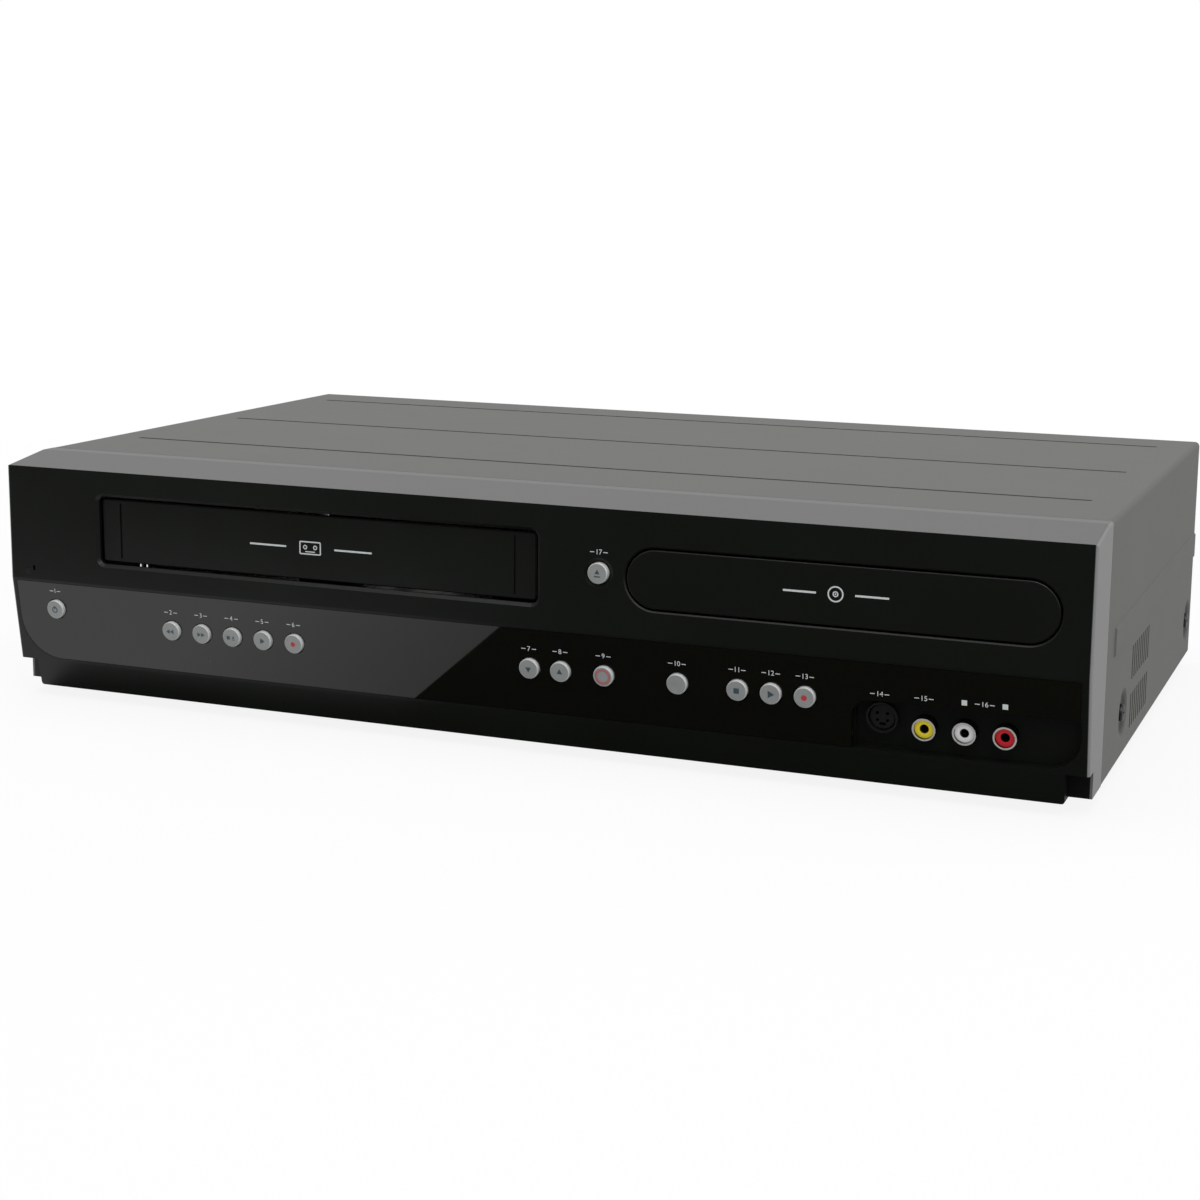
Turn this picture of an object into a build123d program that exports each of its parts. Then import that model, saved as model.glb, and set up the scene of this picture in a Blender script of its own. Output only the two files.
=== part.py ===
from build123d import *
import math
import os

# A full-width player for video cassettes and discs. The cassette door is on the left of the front,
# the disc tray on the right, and a leaning glossy window with the buttons and sockets runs below.
#
# Millimetres. x runs to the right seen from the front, y from the front face to the back and z up
# from the surface that the feet stand on. A piece is built there and moved as it is written, so
# that the origin lies under the middle of the whole player.

# ------------------------------------------------------------------ case
case_width = 435.0
case_height = 99.5
case_depth = 260.0
sheet = 1.0
bend_radius = 2.0
cover_front = 30.0
cover_foot = 6.4
base_height = 5.0
base_lip = 3.0
foot_radius = 11.0
foot_inset_x = 42.0
foot_inset_y = 26.0

# ------------------------------------------------------------------ cover details
groove_depths = (72.0, 151.0, 235.0)
groove_length = 406.0
groove_width = 2.4
groove_depth = 0.6
band_bottom = 48.6
band_top = 59.3
band_start = 45.0
band_relief = 0.6
louvre_start = 90.0
louvre_pitch = 4.9
louvre_width = 2.2
louvre_height = 13.0
louvre_rows = (12.0, 30.5)
louvre_count = 9
dimple_radius = 9.3
dimple_floor_radius = 6.0
dimple_depth = 1.2
dimple_height = 22.2
front_dimple = 72.5
rear_dimple_from_back = 12.0
screw_radius = 1.5
screw_clearance = 0.05
screw_head_radius = 3.2
screw_head_height = 1.6
screw_length = 7.0
screw_slot = 0.7
rear_screws = (-150.0, 0.0, 150.0)
rear_screw_drop = 6.0
rear_flange = 10.0
base_vent_count = 10
base_vent_pitch = 5.0
base_vent_width = 2.0
base_vent_length = 40.0
rear_vent_count = 12
rear_vent_inset = 27.5
rear_vent_pitch = 6.0
rear_vent_width = 2.5
rear_vent_low = 60.0
rear_vent_high = 84.0

# ------------------------------------------------------------------ front moulding
bezel_gap = 0.3
bezel_wall = 2.5
edge_round = 1.5
bevel_rise = 3.5
bevel_depth = 23.0
bend_height = 50.1
lean = 7.8
face_foot = 15.7
plinth_inset = 8.3
plinth_front = 6.9
plinth_bottom = 4.6
plinth_round = 1.2
tab_front = 12.2
tab_bottom = 6.0
hook_xs = (-150.0, 0.0, 150.0)
hook_width = 20.0
hook_wall = 4.0
hook_reach = 8.0
hook_thickness = 3.0

# ------------------------------------------------------------------ control window
window_left = -214.6
window_right = 214.0
window_top = 49.0
window_bottom = 17.0
window_corner = 17.5
window_thickness = 2.0
window_fit = 0.15
window_backing = 2.5
small_round = 0.5

# ------------------------------------------------------------------ socket bay in the window
bay_left = 134.7
bay_right = 214.5
bay_top = 35.2
bay_corner = 7.0
bay_end_corner = 12.0
bay_depth = 3.5
bay_wall = 2.0
s_video_bay_right = 153.5
s_video_bay_depth = 1.0

# ------------------------------------------------------------------ cassette door
door_left = -173.5
door_right = 14.9
door_bottom = 59.7
door_top = 84.9
door_setback = 2.0
door_thickness = 2.0
door_gap = 1.0
door_round = 1.5
door_rim = 1.2
door_groove_inset = 8.6
door_groove_width = 0.8
door_groove_depth = 0.5
door_groove_margin = 1.6
hinge_depth = 6.4
hinge_height = 89.5
hinge_pin_radius = 1.5
hinge_clearance = 0.05
hinge_arm = 3.0
hinge_lug = 3.0
hinge_boss_radius = 3.2
door_spring_wire = 0.3
door_spring_radius = 2.0
door_spring_pitch = 0.85
door_spring_turns = 6.75
door_spring_leg = 12.0
door_spring_short_leg = 3.5

# ------------------------------------------------------------------ disc tray
tray_centre = 128.65
tray_front_width = 155.1
tray_front_height = 21.6
tray_front_level = 71.5
tray_front_setback = 0.2
tray_front_thickness = 3.0
tray_front_gap = 0.7
tray_rim = 0.5
tray_width = 131.0
tray_underside = 66.0
tray_height = 8.0
disc_radius = 61.0
small_disc_radius = 41.0
disc_well_depth = 4.0
small_well_depth = 1.0
disc_from_front = 74.0
tray_slot_width = 40.0
tray_travel = 140.0
slide_clearance = 0.2

# ------------------------------------------------------------------ buttons
button_radius = 3.85
button_gap = 0.4
button_fit = 0.08
button_proud = 1.5
button_round = 0.5
button_flange_radius = 5.2
button_flange_thickness = 1.2
button_flange_play = 0.4
button_stem_radius = 1.5
button_travel = 0.8
button_row_height = 34.1
standby_x = -196.6
standby_height = 38.3
deck_button_first_x = -142.4
deck_button_pitch = 13.85
tracking_first_x = 12.3
dubbing_x = 41.9
source_x = 70.4
disc_button_first_x = 93.1
disc_button_pitch = 12.5
eject_x = 40.3
eject_height = 72.4
eject_ring_radius = 5.6
eject_ring_depth = 1.0

# ------------------------------------------------------------------ front board and its switches
board_thickness = 1.6
board_setback = 14.0
board_bottom = 18.5
board_top = 46.5
board_end_gap = 4.0
switch_width = 6.0
switch_body = 3.5
switch_plunger = 1.1
switch_plunger_radius = 1.7
post_radius = 2.0
front_post_xs = (-180.0, -70.0, 55.0, 125.0)
front_post_height = 21.0
eject_board_depth = 12.0
eject_board_size = 18.0
display_left = -62.0
display_right = 0.0
display_bottom = 24.0
display_top = 41.0
display_thickness = 6.0
display_fit = 1.0
display_foot_half = 2.0
display_foot_inset = 5.0
sensor_x = -73.8
sensor_height = 40.2
sensor_radius = 2.5
lamp_radius = 1.5
source_lamp_gap = 0.2
light_guide_half = 1.6
light_guide_foot = 3.0
light_guide_gap = 0.5
lamp_fit = 0.1
power_lamp_x = -208.9
power_lamp_height = 53.1
pinhole_x = -205.9
pinhole_height = 54.7
source_lamp_spread = 9.05
source_lamp_height = 36.9

# ------------------------------------------------------------------ front sockets
s_video_x = 145.0
s_video_height = 28.2
s_video_radius = 5.7
s_video_proud = 2.0
s_video_wall = 0.8
s_video_groove = 0.5
s_video_well = 4.0
s_video_hole_spread = 1.84
s_video_hole_rise = 1.34
s_video_hole_radius = 0.6
s_video_hole_depth = 3.0
s_video_key = 1.2
rca_first_x = 160.6
rca_pitch = 14.05
rca_height = 26.6
rca_radius = 4.15
rca_bore = 3.5
rca_groove = 0.6
rca_pin_bore = 1.6
rca_proud = 4.0
rca_pitch_count = 3
socket_fit = 0.1
socket_body_width = 10.0

# ------------------------------------------------------------------ cassette deck
deck_plate_height = 36.0
deck_plate_thickness = 1.5
deck_front = 42.0
deck_from_back = 20.0
deck_leg_radius = 4.0
deck_leg_inset = 6.0
deck_rear_leg_inset = 20.0
cassette_travel = 78.0
cassette_drop = 14.0
holder_inner_width = 188.5
holder_sheet = 1.0
holder_floor = 58.2
holder_top = 86.2
holder_front = 38.0
holder_length = 52.0
holder_ledge = 28.0
holder_stop_width = 18.0
holder_window_side = 40.0
holder_window_end = 14.0
holder_pin_depths = (55.0, 82.0)
holder_pin_height = 80.0
holder_pin_radius = 1.5
carriage_gap = 1.25
carriage_sheet = 1.2
carriage_front = 45.0
carriage_back = 92.0
carriage_bottom = 61.0
carriage_top = 88.0
carriage_pin_depths = (49.5, 88.0)
carriage_pin_height = 74.0
carriage_pin_radius = 2.0
carriage_bar_radius = 2.0
carriage_bar_sink = 0.5
carriage_rack_end = 130.0
carriage_rack_height = 3.0
rack_thickness = 2.4
bracket_gap = 1.3
bracket_sheet = 1.2
bracket_back = 178.0
bracket_top = 92.0
running_clearance = 0.05
loading_gear_depth = 126.0
gear_module = 1.0
rack_addendum = 0.9
rack_dedendum = 1.2
tooth_play = 0.06
pressure_angle = 20.0
loading_gear_teeth = 21
reel_spacing = 92.0
reel_depth = 100.0
reel_table_radius = 14.0
reel_table_thickness = 3.5
reel_hub_radius = 9.0
reel_fin_half = 0.75
reel_top = 52.0
reel_shaft_radius = 1.5
drum_depth = 203.0
drum_radius = 31.0
drum_lean = 6.0
drum_split = 57.0
drum_top = 72.0
drum_gap = 0.3
drum_hub_radius = 8.0
drum_hub_rise = 3.0
drum_foot_inset = 4.0
head_window = 5.0
drum_shaft_radius = 3.0
drum_shaft_inset = 2.0
capstan_offset = 62.0
capstan_depth = 173.0
capstan_radius = 1.5
capstan_boss_radius = 5.0
capstan_top = 74.0
flywheel_radius = 24.0
flywheel_bottom = 23.0
flywheel_top = 31.0
pinch_pivot_offset = 84.0
pinch_pivot_depth = 196.0
pinch_arm_length = 23.1
pinch_roller_radius = 7.0
pinch_rest_angle = 188.8
pinch_roller_bottom = 5.0
pinch_roller_top = 26.5
pinch_arm_width = 9.0
pinch_arm_thickness = 2.0
pinch_boss_radius = 4.0
pinch_boss_height = 9.0
guide_offset = 38.0
guide_front = 152.0
guide_run_out = 8.0
guide_run = 60.0
guide_roller_radius = 3.0
guide_roller_top = 64.0
guide_slider_length = 8.0
guide_slider_height = 3.0
guide_neck_radius = 2.4
guide_flange_thickness = 1.5
guide_slider_width = 12.0

# ------------------------------------------------------------------ disc drive
loader_front = 8.0
loader_back = 182.0
loader_floor = 52.0
loader_floor_thickness = 2.0
loader_wall = 4.0
loader_headroom = 8.5
loader_foot_radius = 3.0
loader_foot_inset = 12.0
ledge_depth = 3.0
ledge_thickness = 1.5
bridge_width = 40.0
bridge_thickness = 2.5
clamp_hole_radius = 10.0
clamp_radius = 14.0
clamp_bottom = 74.8
clamp_gap = 1.5
clamp_neck_gap = 0.6
clamp_lip = 2.0
clamp_lip_gap = 0.3
tray_gear_teeth = 14
tray_gear_module = 1.5
tray_rack_inset = 26.0
tray_rack_height = 4.0
tray_rack_width = 4.5
tray_rack_margin = 2.0
tray_rack_overrun = 9.0
tray_gear_depth = 30.0
pulley_radius = 11.0
pulley_thickness = 3.0
pulley_gap = 1.0
pulley_boss_radius = 8.0
thrust_gap = 0.3
tray_gear_gap = 0.5
motor_shaft_radius = 2.4
motor_hole_radius = 3.0
belt_width = 2.0
motor_pulley_radius = 4.0
motor_radius = 11.0
motor_length = 13.0
motor_spacing = 30.0
belt_thickness = 1.2
traverse_left = 98.0
traverse_right = 160.0
traverse_front = 44.0
traverse_hinge_depth = 172.0
traverse_level = 56.0
traverse_thickness = 2.0
lug_gap = 3.0
lug_thickness = 3.0
lug_radius = 3.6
turntable_radius = 15.0
turntable_top = 70.5
turntable_thickness = 3.0
turntable_boss_radius = 6.0
spindle_cone_radius = 7.3
spindle_cone_height = 2.5
spindle_motor_radius = 11.0
spindle_motor_depth = 8.0
spindle_motor_rise = 2.0
spindle_radius = 1.5
spindle_seat = 2.0
pickup_start = 24.0
pickup_travel = 34.0
pickup_length = 24.0
pickup_width = 36.0
rod_radius = 1.5
rod_spacing = 48.0
rod_height = 61.0
pickup_slot_side = 4.0
pickup_slot_end = 3.0
pickup_eye_wall = 1.3
pickup_eye_length = 12.0
lens_radius = 2.5
lens_seat_radius = 4.0
lens_seat_height = 1.2
lens_height = 0.6

# ------------------------------------------------------------------ boards and the back
main_board_height = 12.0
board_hole_inset = 6.0
power_hole_inset = 8.0
chip_height = 2.4
chips = ((-70.7, 130.0, 28.0), (19.3, 110.0, 22.0), (-20.7, 200.0, 18.0), (79.3, 180.0, 14.0))
board_edge_gap = 8.0
board_back_gap = 0.5
main_board_front = 62.0
main_board_right = 45.0
rear_strip_front = 196.0
rear_strip_right = 170.0
power_board_left = 68.0
power_board_right = 190.0
power_board_front = 50.0
power_board_back = 190.0
fuse_radius = 3.0
fuse_length = 22.0
fuse_from_front = 20.0
fuse_inset = 10.0
core_width = 36.0
core_depth = 32.0
core_inset = 4.0
winding_width = 22.0
winding_depth = 38.0
transformer_height = 22.0
capacitor_radius = 8.0
capacitor_height = 20.0
capacitor_pitch = 20.0
capacitor_count = 4
heat_sink_fins = 7
heat_sink_pitch = 5.0
heat_sink_inset = 14.0
power_parts_front = 40.0
transformer_inset = 48.0
transformer_from_back = 62.0
capacitor_inset = 26.0
heat_sink_height = 22.0
heat_sink_fin = 2.0
heat_sink_web = 3.0
heat_sink_reach = 10.0
rear_jack_columns = 5
rear_jack_rows = 2
rear_jack_pitch_x = 14.0
rear_jack_pitch_z = 14.0
rear_jack_first_x = -60.0
rear_jack_low = 20.0
rear_jack_reach = 8.0
rear_jack_block_depth = 13.0
tuner_x = 120.0
tuner_width = 40.0
tuner_length = 52.0
tuner_height = 22.0
aerial_spacing = 18.0
aerial_radius = 4.7
aerial_rise = 4.0
aerial_bore = 1.2
cord_x = 195.0
cord_height = 30.0
cord_hole_radius = 5.0
bushing_radius = 7.5
bushing_lip = 1.5
bushing_reach = 3.0
bushing_catch = 2.0

eps = 0.01


# ------------------------------------------------------------------ worked-out places
half_width = case_width / 2
back_plane = case_depth - sheet
face_top = case_height - bevel_rise
plinth_half = half_width - plinth_inset
rear_dimple = case_depth - rear_dimple_from_back
rear_screw_height = case_height - rear_screw_drop
deck_back = case_depth - deck_from_back
loader_top = case_height - sheet - loader_headroom
slope_sin = math.sin(math.radians(lean))
slope_cos = math.cos(math.radians(lean))
base_top = base_height + sheet
base_half = half_width - sheet - dimple_depth
deck_x = (door_left + door_right) / 2
deck_top = deck_plate_height + deck_plate_thickness
holder_half = holder_inner_width / 2 + holder_sheet
carriage_inner = holder_half + carriage_gap
carriage_outer = carriage_inner + carriage_sheet
bracket_inner = carriage_outer + bracket_gap
bracket_outer = bracket_inner + bracket_sheet
disc_y = tray_front_setback + tray_front_thickness + disc_from_front
tray_top = tray_underside + tray_height
tray_start = tray_front_setback + tray_front_thickness
tray_left = tray_centre - tray_width / 2
tray_right = tray_centre + tray_width / 2
loader_inner_left = tray_left - slide_clearance
loader_inner_right = tray_right + slide_clearance
board_top_face = main_board_height + board_thickness
front_extent = -button_proud
back_extent = case_depth + rear_jack_reach
middle_depth = (front_extent + back_extent) / 2

deck_buttons = ("rewind_button", "fast_forward_button", "stop_eject_button", "play_button", "record_button")
tracking_buttons = ("tracking_down_button", "tracking_up_button")
disc_buttons = ("disc_stop_button", "disc_play_button", "disc_record_button")


def button_places():
    """x and height of each button on the leaning face."""
    places = {"standby_button": (standby_x, standby_height)}
    for step, name in enumerate(deck_buttons):
        places[name] = (deck_button_first_x + step * deck_button_pitch, button_row_height)
    for step, name in enumerate(tracking_buttons):
        places[name] = (tracking_first_x + step * disc_button_pitch, button_row_height)
    places["dubbing_button"] = (dubbing_x, button_row_height)
    places["source_button"] = (source_x, button_row_height)
    for step, name in enumerate(disc_buttons):
        places[name] = (disc_button_first_x + step * disc_button_pitch, button_row_height)
    return places


def rca_xs():
    """x of each round audio and video socket."""
    return [rca_first_x + step * rca_pitch for step in range(rca_pitch_count)]


# ------------------------------------------------------------------ basic shapes
def block(x0, x1, y0, y1, z0, z1):
    """A box between two corners."""
    middle = Pos((x0 + x1) / 2, (y0 + y1) / 2, (z0 + z1) / 2)
    return middle * Box(x1 - x0, y1 - y0, z1 - z0)


def rod_x(radius, x0, x1, y, z):
    return Pos((x0 + x1) / 2, y, z) * Rot(0, 90, 0) * Cylinder(radius, x1 - x0)


def rod_y(radius, y0, y1, x, z):
    return Pos(x, (y0 + y1) / 2, z) * Rot(90, 0, 0) * Cylinder(radius, y1 - y0)


def rod_z(radius, z0, z1, x, y):
    return Pos(x, y, (z0 + z1) / 2) * Cylinder(radius, z1 - z0)


def prism_x(points, x0, x1):
    """A prism along x of an outline given as (y, z) points."""
    face = make_face(Polyline(*points, close=True))
    plane = Plane(origin=(x0, 0, 0), x_dir=(0, 1, 0), z_dir=(1, 0, 0))
    return extrude(plane.location * face, x1 - x0)


def prism_z(points, z0, z1):
    """A prism along z of an outline given as (x, y) points."""
    face = make_face(Polyline(*points, close=True))
    return extrude(Pos(0, 0, z0) * face, z1 - z0)


def both_sides(shape):
    """A piece and its mirror image across the middle of the case."""
    return shape + mirror(shape, about=Plane.YZ)


# ------------------------------------------------------------------ the two front faces
# On each face x is the case's x, the second number runs up the face and the third points out of it.
upper_face = Plane(origin=(0, 0, 0), x_dir=(1, 0, 0), z_dir=(0, -1, 0)).location
lower_face = Plane(
    origin=(0, 0, bend_height), x_dir=(1, 0, 0), z_dir=(0, -slope_cos, -slope_sin)
).location


def up_lean(height):
    """Distance up the leaning face of a height above the surface."""
    return (height - bend_height) / slope_cos


def lean_depth(height):
    """Depth of the leaning face at a height above the surface."""
    return (bend_height - height) * slope_sin / slope_cos


def face_rod(radius, out0, out1, x, up):
    """A round rod square to a face, from one distance out of it to another."""
    return Pos(x, up, (out0 + out1) / 2) * Cylinder(radius, out1 - out0)


def face_block(x0, x1, up0, up1, out0, out1):
    return block(x0, x1, up0, up1, out0, out1)


# ------------------------------------------------------------------ control window and its pocket
def window_outline(grow):
    """The window's outline on the leaning face, with the socket bay cut out of its corner."""
    left = window_left - grow
    right = window_right + grow
    low = up_lean(window_bottom) - grow
    high = up_lean(window_top) + grow
    bay_x = bay_left + grow
    bay_up = up_lean(bay_top) - grow
    points = [(left, low), (bay_x, low), (bay_x, bay_up), (right, bay_up), (right, high), (left, high)]
    face = make_face(Polyline(*points, close=True))
    corner = face.vertices().sort_by(Axis.X)[:2].sort_by(Axis.Y)[0]
    face = fillet(corner, window_corner)
    inner = [v for v in face.vertices() if abs(v.X - bay_x) < eps and abs(v.Y - bay_up) < eps]
    return fillet(inner, bay_corner)


def bay_outline():
    """The socket bay's outline on the leaning face."""
    low = up_lean(window_bottom)
    high = up_lean(bay_top)
    points = [(bay_left, low), (bay_right, low), (bay_right, high), (bay_left, high)]
    face = make_face(Polyline(*points, close=True))
    start = [v for v in face.vertices() if abs(v.X - bay_left) < eps and abs(v.Y - high) < eps]
    face = fillet(start, bay_corner)
    end = [v for v in face.vertices() if abs(v.X - bay_right) < eps and abs(v.Y - low) < eps]
    return fillet(end, bay_end_corner)


def control_window():
    plate = extrude(window_outline(0), -window_thickness)
    for x, height in button_places().values():
        plate -= face_rod(button_radius + button_gap, -window_thickness - 1, 1, x, up_lean(height))
    return lower_face * plate


# ------------------------------------------------------------------ front moulding
def bezel_block():
    """The outside of the front moulding: face, bevel, end tabs and plinth."""
    outline = [
        (0, bend_height),
        (0, face_top),
        (bevel_depth, case_height),
        (cover_front - bezel_gap, case_height),
        (cover_front - bezel_gap, face_foot),
        (lean_depth(face_foot), face_foot),
    ]
    body = prism_x(outline, -half_width, half_width)
    ends = []
    for edge in body.edges():
        middle = edge.center()
        on_end = abs(abs(middle.X) - half_width) < eps
        if on_end and middle.Y < cover_front - bezel_gap - eps and middle.Z > face_foot + eps:
            ends.append(edge)
    body = fillet(ends, edge_round)
    plinth = [
        (lean_depth(face_foot), face_foot),
        (plinth_front, plinth_bottom),
        (cover_front - bezel_gap, plinth_bottom),
        (cover_front - bezel_gap, face_foot),
    ]
    foot = prism_x(plinth, -plinth_half, plinth_half)
    corners = []
    for edge in foot.edges():
        middle = edge.center()
        if abs(abs(middle.X) - plinth_half) < eps and middle.Z < plinth_bottom + eps:
            corners.append(edge)
    body += fillet(corners, plinth_round)
    tab = block(plinth_half, half_width, tab_front, cover_front - bezel_gap, tab_bottom, face_foot)
    return body + both_sides(tab)


def bezel_hollow():
    """The space behind the front moulding's walls."""
    slant = (window_thickness + window_backing) / slope_cos
    shelf = face_foot + bezel_wall
    upper = [
        (lean_depth(shelf) + slant, shelf),
        (slant, bend_height),
        (bezel_wall, bend_height + bezel_wall),
        (bezel_wall, face_top - bezel_wall),
        (bevel_depth, case_height - bezel_wall),
        (cover_front + 1, case_height - bezel_wall),
        (cover_front + 1, shelf),
    ]
    lower = [
        (lean_depth(shelf) + slant, shelf + 1),
        (plinth_front + bezel_wall, plinth_bottom + bezel_wall),
        (cover_front + 1, plinth_bottom + bezel_wall),
        (cover_front + 1, shelf + 1),
    ]
    space = prism_x(upper, bezel_wall - half_width, half_width - bezel_wall)
    return space + prism_x(lower, bezel_wall - plinth_half, plinth_half - bezel_wall)


def door_opening():
    """The cutter for the cassette slot in the upper face."""
    width = door_right - door_left + 2 * door_gap
    height = door_top - door_bottom + 2 * door_gap
    middle = Pos(deck_x, (door_top + door_bottom) / 2)
    outline = middle * RectangleRounded(width, height, door_round + door_gap)
    return upper_face * extrude(Pos(0, 0, 1) * outline, -bezel_wall - 2)


def door_rim_cutter():
    """The bevelled edge round the cassette slot, widest at the face."""
    width = door_right - door_left + 2 * door_gap
    height = door_top - door_bottom + 2 * door_gap
    middle = Pos(deck_x, (door_top + door_bottom) / 2)
    inner = RectangleRounded(width, height, door_round + door_gap)
    outer = RectangleRounded(width + 2 * door_rim, height + 2 * door_rim, door_round + door_gap + door_rim)
    return upper_face * middle * loft([Pos(0, 0, -door_rim) * inner, outer])


def tray_opening():
    """The cutter for the disc tray's front, with a bevelled edge."""
    width = tray_front_width + 2 * tray_front_gap
    height = tray_front_height + 2 * tray_front_gap
    hole = extrude(Pos(0, 0, 1) * SlotOverall(width, height), -bezel_wall - 2)
    inner = Pos(0, 0, -tray_rim) * SlotOverall(width, height)
    rim = loft([inner, SlotOverall(width + 2 * tray_rim, height + 2 * tray_rim)])
    return upper_face * Pos(tray_centre, tray_front_level) * (hole + rim)


def eject_opening():
    """The cutter for the tray button, with a shallow ring round it."""
    hole = face_rod(button_radius + button_fit, -bezel_wall - 1, 1, eject_x, eject_height)
    ring = Pos(eject_x, eject_height, -eject_ring_depth / 2) * Cone(
        button_radius + button_gap, eject_ring_radius, eject_ring_depth
    )
    return upper_face * (hole + ring)


def lower_openings():
    """The cutters through the wall behind the window."""
    deep = -window_thickness - window_backing - 1
    cutters = Part()
    for x, height in button_places().values():
        cutters += face_rod(button_radius + button_fit, deep, 0, x, up_lean(height))
    cutters += face_block(
        display_left, display_right, up_lean(display_bottom), up_lean(display_top), deep, 0
    )
    cutters += face_rod(sensor_radius + lamp_fit, deep, 0, sensor_x, up_lean(sensor_height))
    for side in (-1, 1):
        x = source_x + side * source_lamp_spread
        cutters += face_rod(lamp_radius + lamp_fit, deep, 0, x, up_lean(source_lamp_height))
    return lower_face * cutters


def bay_openings():
    """The cutters for the socket bay and its sockets."""
    bay = extrude(Pos(0, 0, 1) * bay_outline(), -bay_depth - 1)
    low = up_lean(window_bottom) + small_round
    high = up_lean(bay_top) - s_video_bay_depth
    floor = -bay_depth - s_video_bay_depth
    bay += face_block(bay_left + s_video_bay_depth, s_video_bay_right, low, high, floor, 0)
    deep = -bay_depth - bay_wall - s_video_bay_depth - 1
    bay += face_rod(s_video_radius + socket_fit, deep, 0, s_video_x, up_lean(s_video_height))
    for x in rca_xs():
        bay += face_rod(rca_radius + socket_fit, deep, 0, x, up_lean(rca_height))
    return lower_face * bay


def bay_backing():
    """The thicker wall behind the socket bay."""
    back = -bay_depth - bay_wall - s_video_bay_depth
    front = -window_thickness - eps
    low = up_lean(window_bottom)
    return lower_face * face_block(
        bay_left - bay_wall, half_width - edge_round, low, up_lean(bay_top) + bay_wall, back, front
    )


def hinge_lug_at(x0, x1):
    """A bearing lug for the door's pin on the back of the upper face."""
    low = hinge_height - hinge_boss_radius
    lug = block(x0, x1, bezel_wall - eps, hinge_depth, low, low + 2 * hinge_boss_radius)
    lug += rod_x(hinge_boss_radius, x0, x1, hinge_depth, hinge_height)
    return lug - rod_x(hinge_pin_radius + hinge_clearance, x0 - 1, x1 + 1, hinge_depth, hinge_height)


def front_posts():
    """The posts that carry the front board and the tray button's board."""
    posts = Part()
    seat = eps - window_thickness - window_backing
    for x in front_post_xs:
        posts += lower_face * face_rod(post_radius, -board_setback, seat, x, up_lean(front_post_height))
    reach = eject_board_size / 2 - post_radius
    for side in (-1, 1):
        x = eject_x + side * reach
        posts += rod_y(post_radius, bezel_wall - eps, eject_board_depth, x, eject_height + side * reach)
    return posts


def bezel_hooks():
    """The hooks along the bottom that rest on the base."""
    hooks = Part()
    back = cover_front - bezel_gap
    front = back - hook_wall
    for x in hook_xs:
        left = x - hook_width / 2
        right = x + hook_width / 2
        hooks += block(left, right, front, cover_front + hook_reach, base_top, base_top + hook_thickness)
        hooks += block(left, right, front, back, plinth_bottom + eps, base_top + hook_thickness / 2)
    return hooks


def front_bezel():
    body = bezel_block() - bezel_hollow() + bay_backing()
    body -= lower_face * extrude(window_outline(window_fit), -window_thickness)
    body -= lower_face * extrude(window_outline(window_fit), 1)
    body -= door_opening() + door_rim_cutter() + tray_opening() + eject_opening()
    body -= lower_openings() + bay_openings()
    body += hinge_lug_at(door_left - door_gap - hinge_lug, door_left - door_gap)
    body += hinge_lug_at(door_right + door_gap, door_right + door_gap + hinge_lug)
    body += front_posts() + bezel_hooks()
    body -= upper_face * face_rod(lamp_radius + lamp_fit, -bezel_wall - 1, 1, power_lamp_x, power_lamp_height)
    slot = face_block(-small_round, small_round, -2 * small_round, 2 * small_round, -bezel_wall - 1, 1)
    return body - upper_face * Pos(pinhole_x, pinhole_height) * slot


# ------------------------------------------------------------------ cassette door
def cassette_door():
    width = door_right - door_left
    height = door_top - door_bottom
    outline = RectangleRounded(width, height, door_round)
    plate = extrude(outline, -door_thickness)
    plate = chamfer(plate.faces().sort_by(Axis.Z)[-1].edges(), small_round)
    for side in (-1, 1):
        x = side * (width / 2 - door_groove_inset)
        length = height / 2 - door_groove_margin
        plate -= face_block(
            x - door_groove_width / 2, x + door_groove_width / 2, -length, length, -door_groove_depth, 1
        )
    door = upper_face * Pos(deck_x, (door_top + door_bottom) / 2, -door_setback) * plate
    for x0, x1 in ((door_left, door_left + hinge_arm), (door_right - hinge_arm, door_right)):
        inside = door_setback + door_thickness
        arm = block(x0, x1, inside - eps, hinge_depth + hinge_boss_radius, door_top - 12, hinge_height)
        arm += rod_x(hinge_boss_radius, x0, x1, hinge_depth, hinge_height)
        door += arm - block(x0 - 1, x1 + 1, 0, inside - eps, door_top - 1, hinge_height + 9)
    door += rod_x(
        hinge_pin_radius, door_left - door_gap - hinge_lug, door_left + hinge_arm, hinge_depth, hinge_height
    )
    stub = door_right - hinge_arm - door_spring_pitch * (door_spring_turns + 2)
    return door + rod_x(hinge_pin_radius, stub, door_right + door_gap + hinge_lug, hinge_depth, hinge_height)


def door_spring():
    """A coil round the door's pin, with one leg on the door and one on the back of the face."""
    length = door_spring_pitch * door_spring_turns
    slope = door_spring_pitch / (2 * math.pi * door_spring_radius)
    start = door_right - hinge_arm - slope * door_spring_leg - 2 * door_spring_wire - length
    coil = Helix(pitch=door_spring_pitch, height=length, radius=door_spring_radius)
    lead_in = Line(coil @ 0 - door_spring_short_leg * (coil % 0), coil @ 0)
    lead_out = Line(coil @ 1, coil @ 1 + door_spring_leg * (coil % 1))
    path = Wire([lead_in, coil, lead_out])
    section = Plane(path @ 0, z_dir=path % 0).location * Circle(door_spring_wire)
    return Pos(start, hinge_depth, hinge_height) * Rot(0, 90, 0) * sweep(section, path=path)


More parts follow.
